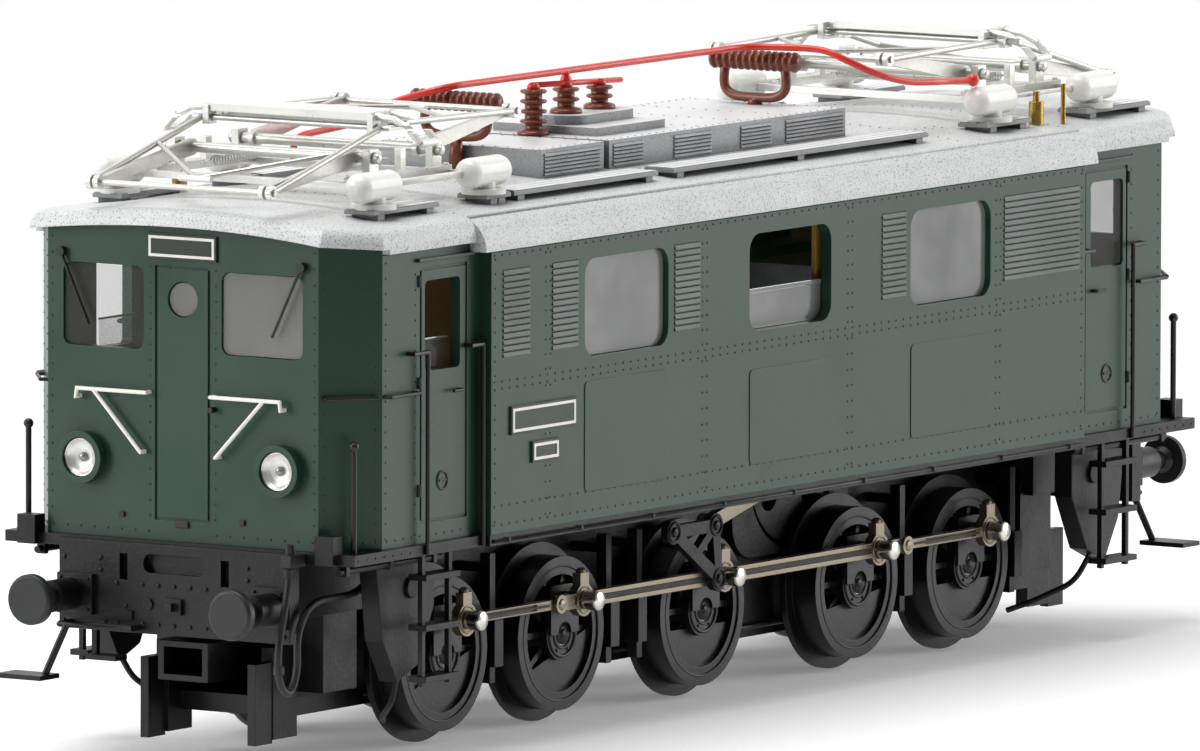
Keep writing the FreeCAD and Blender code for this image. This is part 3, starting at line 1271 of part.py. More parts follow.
def shoe(end):
    """The collector pan with its bent horns, on two pairs of lugs."""
    middle = end * (d.head_a_x + d.head_b_x) / 2
    pieces = [block((middle - d.pan_width / 2, -d.pan_half, d.pan_low),
                    (middle + d.pan_width / 2, d.pan_half, d.pan_top))]
    for side in SIDES:
        for offset in (-1.2, 1.2):
            horn_x = middle + offset
            points = [(horn_x, side * (d.pan_half - 0.3), d.pan_top - 0.32),
                      (horn_x, side * 10.2, d.pan_top - 0.5),
                      (horn_x, side * 11.7, d.pan_top - 1.2), (horn_x, side * 12.9, d.pan_top - 2.4)]
            pieces.append(wire_rod(points, d.horn_radius))
        pieces.append(cylinder(d.horn_radius, middle - 1.2, middle + 1.2,
                               (side * 12.9, d.pan_top - 2.4), "x"))
    bores = []
    for side in SIDES:
        inner, outer = side * (d.arm_y - 0.3), side * (d.arm_y + 0.3)
        pieces.append(block((end * (d.head_a_x - 0.6), inner, d.head_a_z - 0.55),
                            (end * (d.head_a_x + 0.6), outer, d.pan_top - 0.2)))
        pieces.append(block((end * (d.head_b_x - 1.25), inner, d.head_b_z - 0.62),
                            (end * (d.head_b_x + 1.25), outer, d.pan_top - 0.2)))
    bores.append(cylinder(d.knee_pin + d.bearing_gap, -20, 20, (end * d.head_a_x, d.head_a_z)))
    slot = d.knee_pin + 0.12
    bores.append(block((end * (d.head_b_x - d.slot_half), -20, d.head_b_z - slot),
                       (end * (d.head_b_x + d.slot_half), 20, d.head_b_z + slot)))
    for step in (-1, 1):
        bores.append(cylinder(slot, -20, 20, (end * (d.head_b_x + step * d.slot_half), d.head_b_z)))
    return cut(fuse(pieces), bores)


# ---------------------------------------------------------------- assembly

def build():
    node("body_shell", body_shell())
    node("roof", roof())
    node("roof_vent_box", roof_vent_box())
    node("roof_walkways", roof_walkways())
    node("glazing", glazing())
    node("interior_liner", interior_liner())
    node("underframe", underframe())
    node("chassis_frame", chassis_frame())
    node("keeper_plate", keeper_plate())
    node("brake_rigging", brake_rigging())
    node("steps_and_ladders", group(entry_ladders() + shunter_steps()))
    node("brake_hoses", brake_hoses())
    node("buffer_housings", buffer_housings())
    node("motor_can", motor_can())
    node("circuit_board", circuit_board())
    node("ballast_weights", ballast_weights())
    node("body_screws", body_screws())
    node("headlamp_rims", headlamp_rims())
    node("headlamp_lenses", headlamp_lenses())
    node("number_plates", number_plates())
    node("window_wipers", window_wipers())
    node("front_handrails", front_handrails())
    node("handrails", handrails())
    node("base_insulators", base_insulators())
    node("brown_insulators", brown_insulators())
    node("busbar", busbar())
    node("brass_fittings", brass_fittings())
    node("pantograph_bases", pantograph_bases())
    node("motor_rotor", motor_rotor())
    node("jackshaft", group([jackshaft(), worm_wheel()]))
    for number, wheel_x in enumerate(WHEELS_X):
        node(f"wheels_{number + 1}", wheels(number))
        node(f"axle_{number + 1}", axle(wheel_x))
    for side, word in ((-1, "right"), (1, "left")):
        node(f"coupling_rods_{word}", group(coupling_rods(side) + [drive_rod(side)]))
        node(f"drive_frame_{word}", drive_frame(side))
    for end, word in ((-1, "front"), (1, "rear")):
        for side, hand in ((-1, "right"), (1, "left")):
            node(f"buffer_{word}_{hand}", buffer_plunger(end, side))
        node(f"coupler_{word}", coupler(end))
        node(f"{word}_lower_arm_outer", lower_arm(end, d.panto_out_x, d.knee_out_x, d.knee_out_z))
        node(f"{word}_lower_arm_inner", lower_arm(end, d.panto_in_x, d.knee_in_x, d.knee_in_z))
        node(f"{word}_upper_arm_outer", upper_arm(end, d.knee_out_x, d.knee_out_z, d.head_a_x, d.head_a_z))
        node(f"{word}_upper_arm_inner", upper_arm(end, d.knee_in_x, d.knee_in_z, d.head_b_x, d.head_b_z))
        node(f"{word}_shoe", shoe(end))


def check():
    """Stops with a message if any object failed or any sub-part is empty or invalid."""
    for obj in doc.Objects:
        if "Invalid" in obj.State or "Error" in obj.State:
            raise RuntimeError(f"{obj.Name} failed: {obj.State}")
    for name, obj in nodes.items():
        if obj.Shape.isNull() or not obj.Shape.isValid() or not obj.Shape.Solids:
            raise RuntimeError(f"{name} has no valid solid")
        if min(solid.Volume for solid in obj.Shape.Solids) <= 0:
            raise RuntimeError(f"{name} has a solid turned inside out")


build()
doc.recompute()
check()
os.makedirs("parts", exist_ok=True)
for name, obj in nodes.items():
    obj.Shape.exportStep(f"parts/{name}.step")
print(len(nodes), "sub-parts written")
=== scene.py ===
import math
import bmesh
import bpy
from mathutils import Matrix, Quaternion, Vector


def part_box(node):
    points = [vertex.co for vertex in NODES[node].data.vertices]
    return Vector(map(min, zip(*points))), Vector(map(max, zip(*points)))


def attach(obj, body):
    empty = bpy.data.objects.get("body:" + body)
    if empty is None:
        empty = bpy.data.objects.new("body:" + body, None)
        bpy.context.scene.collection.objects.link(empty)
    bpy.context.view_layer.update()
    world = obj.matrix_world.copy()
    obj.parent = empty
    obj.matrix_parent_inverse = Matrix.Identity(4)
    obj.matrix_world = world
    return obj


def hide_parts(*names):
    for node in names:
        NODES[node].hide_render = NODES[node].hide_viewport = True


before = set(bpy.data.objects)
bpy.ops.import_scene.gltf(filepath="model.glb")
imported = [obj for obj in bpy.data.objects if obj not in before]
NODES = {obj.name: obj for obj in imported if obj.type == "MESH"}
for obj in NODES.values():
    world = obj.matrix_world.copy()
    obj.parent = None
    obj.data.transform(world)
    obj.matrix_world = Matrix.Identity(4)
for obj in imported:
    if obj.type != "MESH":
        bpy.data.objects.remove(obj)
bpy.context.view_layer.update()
BASE = "locomotive"
MM = 0.001
SIDES = (-1, 1)
ENDS = (-1, 1)

# Places on the model, in millimetres. So are the sizes of all pieces below, and at() makes metres of
# them. Only the materials, the lights and the camera's distance are in metres.
BODY_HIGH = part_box("body_shell")[1] / MM
FRONT_X = BODY_HIGH.x     # end walls
ROOM_Y = BODY_HIGH.y      # machine room walls
CAB_Y = 17.07             # cab side walls
CAB_X = 60.93             # where a cab side wall meets the corner panel
FRONT_HALF = 13.62        # where the corner panel meets the end wall
WALL_FOOT = 19.2          # lowest rivets on the walls
BEAM_X = 66.5             # faces of the buffer beams
BUFFER_Y, BUFFER_Z = 10.1, 13.79
WHEEL_X = (-41.4, -23.6, -1.75, 22.6, 40.4)
AXLE_Z = 7.6
CRANK = 3.0
HANDS = (("right", -1, 0), ("left", 1, 90))   # side of the model, and degrees its cranks lean from upright
VENT_TOP = 48.5


# ---------------- colour and materials

def tone(text):
    """A hex colour as linear values."""
    parts = [int(text[place:place + 2], 16) / 255 for place in (1, 3, 5)]
    linear = [part / 12.92 if part <= 0.04045 else ((part + 0.055) / 1.055) ** 2.4 for part in parts]
    return (*linear, 1.0)


def shaded(colour, factor):
    """A colour made darker or lighter by a factor."""
    return (*[min(1.0, part * factor) for part in colour[:3]], 1.0)


class Nodes:
    """A short way to build one material's node tree."""

    def __init__(self, name):
        self.material = bpy.data.materials.new(name)
        self.material.use_nodes = True
        self.tree = self.material.node_tree
        self.shader = self.tree.nodes["Principled BSDF"]
        self.place = self.add("ShaderNodeTexCoord").outputs["Object"]

    def add(self, kind, **settings):
        """A new node with its settings."""
        made = self.tree.nodes.new(kind)
        for key, value in settings.items():
            setattr(made, key, value)
        return made

    def link(self, source, target):
        self.tree.links.new(source, target)

    def noise(self, size, detail=4.0):
        """Noise whose features are about size metres across."""
        noise = self.add("ShaderNodeTexNoise")
        noise.inputs["Scale"].default_value = 1.0 / size
        noise.inputs["Detail"].default_value = detail
        self.link(self.place, noise.inputs["Vector"])
        return noise.outputs["Fac"]

    def ramp(self, source, *stops):
        """Colours that follow a value, from pairs of position and colour."""
        ramp = self.add("ShaderNodeValToRGB")
        elements = ramp.color_ramp.elements
        while len(elements) < len(stops):
            elements.new(0.5)
        for element, (position, colour) in zip(elements, stops):
            element.position = position
            element.color = colour
        self.link(source, ramp.inputs["Fac"])
        return ramp.outputs["Color"]

    def mix(self, factor, one, two):
        """A blend of two colours; each of the three is a value or a socket."""
        mix = self.add("ShaderNodeMix", data_type="RGBA")
        for socket, value in ((mix.inputs[0], factor), (mix.inputs[6], one), (mix.inputs[7], two)):
            if hasattr(value, "links"):
                self.link(value, socket)
            else:
                socket.default_value = value
        return mix.outputs[2]

    def bump(self, height, strength, distance, edge=0.0):
        """Relief on the surface, over edges that look rounded by edge metres."""
        bump = self.add("ShaderNodeBump")
        bump.inputs["Strength"].default_value = strength
        bump.inputs["Distance"].default_value = distance
        self.link(height, bump.inputs["Height"])
        if edge:
            bevel = self.add("ShaderNodeBevel", samples=4)
            bevel.inputs["Radius"].default_value = edge
            self.link(bevel.outputs["Normal"], bump.inputs["Normal"])
        self.link(bump.outputs["Normal"], self.shader.inputs["Normal"])

    def see_through(self, share):
        """Mix clear glass or air into the surface, by the share that a socket gives."""
        clear = self.add("ShaderNodeBsdfTransparent")
        blend = self.add("ShaderNodeMixShader")
        self.link(share, blend.inputs[0])
        self.link(self.shader.outputs["BSDF"], blend.inputs[1])
        self.link(clear.outputs["BSDF"], blend.inputs[2])
        self.link(blend.outputs["Shader"], self.tree.nodes["Material Output"].inputs["Surface"])


def grey(value):
    """A grey of one linear value."""
    return (value, value, value, 1.0)


def surface(name, colour, rough, metal=0.0, vary=0.12, patch=0.006, grain=0.0004, relief=0.25,
            speckle=None, painted_hollow_shade=0.0, coat=0.0, bright_edge=0.0, painted_top_light=None, shine=0.5):
    """A slightly uneven surface: patches of tone and fine grain, patch and grain metres across, and
    where they are asked for specks, painted light on upward faces, painted shade in the hollows
    and lighter sharp edges."""
    n = Nodes(name)
    base = tone(colour)
    dark, light = shaded(base, 1 - vary), shaded(base, 1 + vary)
    shade = n.ramp(n.noise(patch, 5.0), (0.3, dark), (0.5, base), (0.72, light))
    fine = n.noise(grain, 3.0)
    shade = n.mix(0.35, shade, n.ramp(fine, (0.35, dark), (0.65, light)))
    if speckle:
        mask = n.ramp(n.noise(grain * 1.3, 2.0), (0.52, grey(0)), (0.72, grey(1)))
        shade = n.mix(mask, shade, tone(speckle))
    # painted light: faces turned upwards get a lighter colour, as if lit from above
    if painted_top_light:
        facing = n.add("ShaderNodeSeparateXYZ")
        n.link(n.add("ShaderNodeNewGeometry").outputs["Normal"], facing.inputs["Vector"])
        up = n.ramp(facing.outputs["Z"], (0.6, grey(0)), (0.95, grey(0.85)))
        shade = n.mix(up, shade, tone(painted_top_light))
    # painted shade: the colour goes darker in hollows and corners, by ambient occlusion
    if painted_hollow_shade:
        hollow = n.add("ShaderNodeAmbientOcclusion", samples=4)
        hollow.inputs["Distance"].default_value = HOLLOW_SHADE_REACH
        hollow_darkening = n.ramp(hollow.outputs["AO"], (0.35, grey(painted_hollow_shade)), (0.95, grey(0)))
        shade = n.mix(hollow_darkening, shade, shaded(base, 0.25))
    # sharp edges get a lighter colour, by pointiness
    if bright_edge:
        point = n.add("ShaderNodeNewGeometry").outputs["Pointiness"]
        lighter_edges = n.ramp(point, (0.52, grey(0)), (0.6, grey(bright_edge)))
        shade = n.mix(lighter_edges, shade, shaded(base, 1.9))
    n.link(shade, n.shader.inputs["Base Color"])
    smooth, dull = max(0.03, rough - 0.07), min(1, rough + 0.08)
    gloss = n.ramp(n.noise(patch * 0.7, 4.0), (0.3, grey(smooth)), (0.7, grey(dull)))
    n.link(gloss, n.shader.inputs["Roughness"])
    n.shader.inputs["Metallic"].default_value = metal
    n.shader.inputs["Coat Weight"].default_value = coat
    n.shader.inputs["Specular IOR Level"].default_value = shine
    n.bump(fine, relief, grain * 0.12, EDGE_ROUND)
    return n.material


def window_pane(name, dark, light, metal, clearness=0.0):
    """Thin plastic: a grey colour that is a painted reflection, a silvery sheen, over a share of clear
    glass.
    """
    n = Nodes(name)
    cloud = n.noise(0.02, 3.0)
    n.link(n.ramp(cloud, (0.3, tone(dark)), (0.7, tone(light))), n.shader.inputs["Base Color"])
    n.shader.inputs["Metallic"].default_value = metal
    n.link(n.ramp(n.noise(0.004), (0.3, grey(0.08)), (0.7, grey(0.16))), n.shader.inputs["Roughness"])
    n.shader.inputs["Coat Weight"].default_value = 0.6
    n.bump(n.noise(0.012, 2.0), 0.12, 0.0003)
    if clearness:
        n.see_through(n.ramp(cloud, (0.3, grey(clearness - 0.04)), (0.7, grey(clearness + 0.04))))
    return n.material


EDGE_ROUND = 0.00008
# how far the painted shade in hollows reaches, in metres
HOLLOW_SHADE_REACH = 0.0016
MATERIALS = {
    "green": surface("bottle_green_paint", "#1f3f30", 0.34, vary=0.07, patch=0.012, relief=0.12,
                     painted_hollow_shade=0.45, shine=0.46),
    "roof": surface("roof_grey_paint", "#d6d8d8", 0.42, vary=0.06, patch=0.005, grain=0.00013,
                    relief=0.9, speckle="#8e9193", painted_hollow_shade=0.5),
    # vent box and walkway boards: a darker colour for their shaded sides, with painted light on their tops
    "vent": surface("vent_metal_grey", "#9fa1a3", 0.42, metal=0.2, vary=0.08, patch=0.004,
                    grain=0.00016, relief=0.5, speckle="#7f8183", painted_hollow_shade=0.8, painted_top_light="#e9eaea"),
    "board": surface("walkway_grey_moulding", "#a0a2a2", 0.42, metal=0.1, vary=0.06, patch=0.003,
                     painted_hollow_shade=0.8, painted_top_light="#eceded"),
    # painted reflection: the grey colours of the panes stand in for what the glass reflects
    "glass": window_pane("window_pane_painted_reflection", "#858785", "#a3a5a3", 0.4),
    "painted_sheen": window_pane("cab_pane_painted_sheen", "#8f918c", "#b4b6b0", 0.35, 0.45),
    "clear": window_pane("clear_cab_pane", "#6a6c69", "#7e807d", 0.3, 0.78),
    "ochre": surface("ochre_interior_moulding", "#a8803e", 0.6, vary=0.1, relief=0.3),
    "black": surface("satin_black_moulding", "#080808", 0.4, vary=0.25, patch=0.004, relief=0.5,
                     painted_hollow_shade=0.6, bright_edge=0.5, shine=0.36),
    "casting": surface("blackened_casting", "#080707", 0.42, vary=0.25, patch=0.003, relief=0.6,
                       painted_hollow_shade=0.6, bright_edge=0.4, shine=0.34),
    "wheel": surface("black_wheel_paint", "#0c0c0c", 0.34, vary=0.2, patch=0.003, relief=0.3,
                     painted_hollow_shade=0.5, bright_edge=0.5, shine=0.45),
    "steel": surface("turned_bright_steel", "#dad7cf", 0.2, metal=1.0, vary=0.08, patch=0.002,
                     relief=0.15),
    "nickel": surface("dark_bronze_rods", "#6f675a", 0.33, metal=0.9, vary=0.14, patch=0.004,
                      grain=0.00015, relief=0.2, painted_hollow_shade=0.5, bright_edge=0.7),
    "flute": surface("rod_flute_shadow", "#2c2620", 0.5, metal=0.5, vary=0.2, patch=0.003, relief=0.2),
    "buffer": surface("dark_grey_buffer", "#232426", 0.45, metal=0.2, vary=0.1, patch=0.003, relief=0.3),
    "brass": surface("polished_brass", "#caa45a", 0.22, metal=1.0, vary=0.05, patch=0.003, relief=0.08,
                     painted_hollow_shade=0.3),
    "brown": surface("brown_glazed_porcelain", "#74351f", 0.36, patch=0.002, relief=0.12, coat=0.25),
    "white": surface("white_porcelain", "#f8f7f1", 0.3, vary=0.03, patch=0.003, relief=0.08, coat=0.4,
                     painted_hollow_shade=0.15),
    "red": surface("red_lacquered_wire", "#e2372a", 0.35, vary=0.1, patch=0.003, relief=0.15, coat=0.3),
    "panto": surface("nickel_silver_arms", "#d2d1ca", 0.34, metal=0.7, vary=0.08, patch=0.002,
                     painted_hollow_shade=0.4, bright_edge=0.4),
    "strip": surface("brushed_contact_strip", "#eeeeea", 0.34, metal=0.45, vary=0.03, relief=0.06,
                     painted_hollow_shade=0.4),
    "motor": surface("plated_motor_can", "#b5b5b3", 0.3, metal=0.9, vary=0.08, relief=0.2),
    "board_green": surface("circuit_board_lacquer", "#155c33", 0.35, vary=0.15, patch=0.002, relief=0.2,
                           coat=0.3),
    "zinc": surface("cast_ballast", "#85888c", 0.6, metal=0.6, patch=0.002, relief=0.6),
    "lens": surface("silvered_lamp_bowl", "#efeee8", 0.38, metal=0.55, vary=0.08, patch=0.0008,
                    relief=0.1, painted_hollow_shade=0.5, coat=0.5),
    "bulb": surface("grey_lamp_bulb", "#8b8d8a", 0.15, metal=0.3, vary=0.15, patch=0.0005, relief=0.05,
                    coat=1.0),
    "white_rail": surface("white_enamel_wire", "#f4f2ea", 0.35, vary=0.04, patch=0.002, relief=0.12,
                          coat=0.2),
    "rail": surface("brown_black_wire", "#161110", 0.4, vary=0.2, patch=0.003, bright_edge=0.3),
    "rubber": surface("black_hose_rubber", "#131313", 0.5, vary=0.15, patch=0.002, relief=0.3),
    # painted shadow: near black, for the strips under the eaves
    "dark": surface("painted_eave_shadow", "#0b0b0b", 0.8, vary=0.2, relief=0.4),
    "plate": surface("dark_green_plate", "#1c2e25", 0.45, vary=0.08, relief=0.15),
}

NODE_LOOKS = {
    "body_shell": "green", "headlamp_rims": "green", "roof": "roof", "roof_vent_box": "vent",
    "roof_walkways": "board", "glazing": "glass", "interior_liner": "ochre", "number_plates": "plate",
    "window_wipers": "rail", "handrails": "rail", "front_handrails": "white_rail",
    "headlamp_lenses": "lens", "underframe": "black", "keeper_plate": "black", "brake_rigging": "black",
    "steps_and_ladders": "black", "buffer_housings": "black", "brake_hoses": "rubber",
    "chassis_frame": "casting", "jackshaft": "casting", "motor_can": "motor", "motor_rotor": "steel",
    "body_screws": "steel", "circuit_board": "board_green", "ballast_weights": "zinc",
    "base_insulators": "white", "brown_insulators": "brown", "busbar": "red", "brass_fittings": "brass",
    "pantograph_bases": "panto",
}
FAMILY_LOOKS = {
    "wheels": "wheel", "axle": "steel", "coupling_rods": "nickel", "drive_frame": "casting",
    "buffer": "buffer", "coupler": "black", "front_lower": "panto", "front_upper": "panto",
    "rear_lower": "panto", "rear_upper": "panto", "front_shoe": "strip", "rear_shoe": "strip",
}


def dress_cad_nodes():
    """Each CAD node in its material, by its own name or its family's."""
    for name, obj in NODES.items():
        look = NODE_LOOKS.get(name)
        if look is None:
            look = next(look for family, look in FAMILY_LOOKS.items() if name.startswith(family))
        for material_slot in obj.material_slots:
            material_slot.material = MATERIALS[look]


# ---------------- mesh helpers

def at(x, y, z):
    """A point or a move, from millimetres."""
    return Vector((x * MM, y * MM, z * MM))


def frame_at(centre, normal):
    """A matrix with its Z along normal."""
    turn = Vector(normal).normalized().to_track_quat("Z", "Y")
    return Matrix.Translation(centre) @ turn.to_matrix().to_4x4()


def circle(radius, sides, height=0.0):
    """Points round a level circle."""
    angles = [math.tau * step / sides for step in range(sides)]
    return [at(radius * math.cos(angle), radius * math.sin(angle), height) for angle in angles]


def rectangle(x0, x1, z0, z1, inset=0.0):
    """The corners of a rectangle, moved inwards by inset."""
    x0, x1, z0, z1 = x0 + inset, x1 - inset, z0 + inset, z1 - inset
    return [(x0, z0), (x1, z0), (x1, z1), (x0, z1)]


def rounded_rectangle(x0, x1, z0, z1, radius, steps=5):
    """Points round a rectangle with round corners."""
    points = []
    centres = ((x1 - radius, z1 - radius), (x0 + radius, z1 - radius), (x0 + radius, z0 + radius),
               (x1 - radius, z0 + radius))
    for quarter, (centre_x, centre_z) in enumerate(centres):
        for step in range(steps + 1):
            angle = math.radians(90 * quarter + 90 * step / steps)
            points.append((centre_x + radius * math.cos(angle), centre_z + radius * math.sin(angle)))
    return points


def add_rings(bm, rings, closed=False):
    """A skin over rings of points, with a cap on each end or with the last ring joined to the first."""
    rings = [[bm.verts.new(point) for point in ring] for ring in rings]
    sides = len(rings[0])
    following = rings[1:] + rings[:1] if closed else rings[1:]
    for one, two in zip(rings, following):
        for step in range(sides):
            after = (step + 1) % sides
            bm.faces.new((one[step], one[after], two[after], two[step]))
    if not closed:
        bm.faces.new(list(reversed(rings[0])))
        bm.faces.new(rings[-1])


def add_box(bm, low, high):
    """A box between two opposite corners."""
    size = high - low
    matrix = Matrix.Translation((low + high) / 2) @ Matrix.Diagonal((*map(abs, size), 1))
    bmesh.ops.create_cube(bm, size=1, matrix=matrix)


def add_dome(bm, centre, normal, radius, height, sides=8):
    """A rivet head: a low cap of two rings and a top."""
    matrix = frame_at(centre, normal)
    low, high = [[bm.verts.new(matrix @ point) for point in circle(radius * scale, sides, height * rise)]
                 for scale, rise in ((1.0, 0.0), (0.72, 0.72))]
    top = bm.verts.new(matrix @ at(0, 0, height))
    for number in range(sides):
        after = (number + 1) % sides
        bm.faces.new((low[number], low[after], high[after], high[number]))
        bm.faces.new((high[number], high[after], top))
    bm.faces.new(list(reversed(low)))


def add_round(bm, start, end, radius, sides=16, end_radius=None):
    """A round bar or cone between two points."""
    matrix = frame_at((start + end) / 2, end - start)
    end_radius = radius if end_radius is None else end_radius
    bmesh.ops.create_cone(bm, cap_ends=True, segments=sides, radius1=radius * MM,
                          radius2=end_radius * MM, depth=(end - start).length, matrix=matrix)


def add_torus(bm, centre, normal, radius, thick, sides=32, around=8):
    """A round ring of round wire."""
    matrix = frame_at(centre, normal)
    tilts = [math.tau * step / around for step in range(around)]
    loops = [circle(radius + thick * math.cos(tilt), sides, thick * math.sin(tilt)) for tilt in tilts]
    add_rings(bm, [[matrix @ loop[number] for loop in loops] for number in range(sides)], closed=True)


def add_lathe(bm, centre, normal, profile, sides=40):
    """A turned shape from pairs of radius and height, closed at both ends."""
    matrix = frame_at(centre, normal)
    add_rings(bm, [[matrix @ point for point in circle(radius, sides, height)]
                   for radius, height in profile])


def add_prism(bm, outline, offset):
    """A closed prism from a flat outline, moved along offset."""
    add_rings(bm, [outline, [point + offset for point in outline]])


def add_slat(bm, x0, x1, y, z, high, side, stand):
    """One louvre slat on a wall that faces sideways: a wedge, thick at its lower edge."""
    outline = [at(x0, y, z), at(x0, y + side * stand, z), at(x0, y, z + high)]
    add_prism(bm, outline, at(x1 - x0, 0, 0))


def add_frame(bm, outer, inner, place, offset):
    """A flat ring between two outlines; place(u, v) gives a point and offset its thickness."""
    loops = []
    for outline in (outer, inner):
        for move in (Vector(), offset):
            loops.append([bm.verts.new(place(u, v) + move) for u, v in outline])
    for number in range(len(outer)):
        after = (number + 1) % len(outer)
        for one, two in ((0, 1), (1, 3), (3, 2), (2, 0)):
            bm.faces.new((loops[one][number], loops[one][after], loops[two][after], loops[two][number]))


def add_tube(bm, points, radius, sides=6):
    """A tube along a list of points, whose rings keep one steady turn."""
    rings = []
    across = None
    for number, point in enumerate(points):
        before = points[max(0, number - 1)]
        after = points[min(len(points) - 1, number + 1)]
        along = (after - before).normalized()
        across = along.orthogonal() if across is None else across - along * across.dot(along)
        across.normalize()
        third = along.cross(across)
        rings.append([point + across * spot.x + third * spot.y for spot in circle(radius, sides)])
    add_rings(bm, rings)


def rounded_route(points, reach, steps=6):
    """The points of a route with its corners turned into short curves."""
    route = [points[0]]
    for before, corner, after in zip(points, points[1:], points[2:]):
        into, away = before - corner, after - corner
        one = corner + into.normalized() * min(reach * MM, into.length * 0.45)
        two = corner + away.normalized() * min(reach * MM, away.length * 0.45)
        for step in range(steps + 1):
            share = step / steps
            route.append(one.lerp(corner, share).lerp(corner.lerp(two, share), share))
    return route + [points[-1]]


def make_piece(name, bm, look, body=BASE, bevel=0.0, smooth=False):
    """The finished piece: its mesh, material, body and material slot."""
    bmesh.ops.recalc_face_normals(bm, faces=bm.faces)
    mesh = bpy.data.meshes.new(name)
    bm.to_mesh(mesh)
    bm.free()
    for face in mesh.polygons:
        face.use_smooth = smooth
    obj = bpy.data.objects.new(name, mesh)
    bpy.context.scene.collection.objects.link(obj)
    mesh.materials.append(MATERIALS[look])
    if bevel:
        modifier = obj.modifiers.new("edges", "BEVEL")
        modifier.width = bevel * MM
        modifier.segments = 2
        modifier.limit_method = "ANGLE"
    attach(obj, body)
    return obj


# ---------------- body details

ROOM_ROWS = (41.9, 31.3, 30.7, 20.9, 19.3)
ROOM_COLUMNS = (-37.9, -13.9, 8.8, 32.4)
RIVET = 0.1
RIVET_RISE = 0.06


def rivet_row(bm, start, end, pitch, normal):
    """Rivets from start to end, about pitch apart."""
    count = max(1, round((end - start).length / (pitch * MM)))
    for number in range(count + 1):
        add_dome(bm, start.lerp(end, number / count), normal, RIVET, RIVET_RISE)


def room_rivets(bm, side):
    """Rows and columns of rivets on one wall of the machine room."""
    y = side * ROOM_Y
    normal = (0, side, 0)
    for z in ROOM_ROWS:
        rivet_row(bm, at(-46.0, y, z), at(46.0, y, z), 1.15, normal)
    for column in ROOM_COLUMNS:
        for x in (column - 0.35, column + 0.35):
            rivet_row(bm, at(x, y, 19.6), at(x, y, 30.4), 1.3, normal)
            rivet_row(bm, at(x, y, 31.8), at(x, y, 41.6), 1.3, normal)
    for end in ENDS:
        rivet_row(bm, at(end * 45.9, y, 19.6), at(end * 45.9, y, 41.6), 1.2, normal)


def cab_rivets(bm, end, side):
    """Rivets on one side wall of a cab and on the corner panel next to it."""
    y = side * CAB_Y
    for x in (60.4, 56.0):
        rivet_row(bm, at(end * x, y, 19.4), at(end * x, y, 42.4), 1.3, (0, side, 0))
    rivet_row(bm, at(end * 60.2, y, WALL_FOOT), at(end * 48.0, y, WALL_FOOT), 1.2, (0, side, 0))
    corner = at(end * FRONT_X, side * FRONT_HALF, 0)
    along = (at(end * CAB_X, y, 0) - corner).normalized()
    slope = Vector((-along.y, along.x, 0)) * (end * side)
    if slope.x * end < 0:
        slope = -slope
    for share in (0.5, 5.0):
        foot = corner + along * share * MM
        rivet_row(bm, foot + at(0, 0, 19.4), foot + at(0, 0, 43.0), 1.3, slope)
    foot = corner + along * 0.6 * MM + at(0, 0, WALL_FOOT)
    rivet_row(bm, foot, foot + along * 4.4 * MM, 1.1, slope)


def side_rivets():
    """Rivets on the machine room, the cab sides and the corner panels."""
    bm = bmesh.new()
    for side in SIDES:
        room_rivets(bm, side)
        for end in ENDS:
            cab_rivets(bm, end, side)
    make_piece("side_rivets", bm, "green", smooth=True)


def front_rivets():
    """Rivets beside the door, at the corners and along the foot of both end walls."""
    bm = bmesh.new()
    for end in ENDS:
        x = end * FRONT_X
        for side in SIDES:
            for y, low, high in ((3.3, 20.6, 41.4), (13.2, 19.4, 43.4)):
                rivet_row(bm, at(x, side * y, low), at(x, side * y, high), 1.3, (end, 0, 0))
            rivet_row(bm, at(x, side * 3.4, 19.3), at(x, side * 13.0, 19.3), 1.3, (end, 0, 0))
    make_piece("front_rivets", bm, "green", smooth=True)


LOUVRES = ((-44.75, -40.7), (-37.3, -33.4), (-18.6, -14.7), (13.8, 17.6), (33.3, 45.5))
LOUVRE_Z = 33.3
LOUVRE_PITCH = 0.53
LOUVRE_COUNT = 14


def louvres():
    """Panels of slats beside the windows."""
    bm = bmesh.new()
    for side in SIDES:
        for start, end in LOUVRES:
            for number in range(LOUVRE_COUNT):
                z = LOUVRE_Z + number * LOUVRE_PITCH
                add_slat(bm, start, end, side * ROOM_Y, z, LOUVRE_PITCH * 0.85, side, 0.12)
    make_piece("side_louvres", bm, "green")


WINDOWS = (-25.95, 24.75)
WINDOW_HALF = 6.33
CAB_SINK = 0.15
SIDE_SINK = 0.5
PANE = 0.2


def side_wall(side, y):
    """A function that puts flat points on a side wall at y."""
    return lambda u, v: at(u, side * y, v)


def end_wall(end, side=1, lift=0.0):
    """A function that puts flat points on an end wall, or lift in front of it."""
    return lambda u, v: at(end * (FRONT_X + lift), side * u, v)


def set_pane(bm, outline, place, inward, sink):
    """One pane set a little below the face of its wall."""
    add_prism(bm, [place(u, v) + inward * sink for u, v in outline], inward * PANE)


def side_panes():
    """Panes in the closed machine room windows and the lowered pane of the open one."""
    bm = bmesh.new()
    for side in SIDES:
        for x in WINDOWS:
            outline = rounded_rectangle(x - WINDOW_HALF, x + WINDOW_HALF, 32.32, 40.48, 1.4)
            set_pane(bm, outline, side_wall(side, ROOM_Y), at(0, -side, 0), SIDE_SINK)
        add_box(bm, at(-6.95, side * 16.95, 32.3), at(5.75, side * 17.25, 35.4))
    make_piece("side_window_panes", bm, "glass")


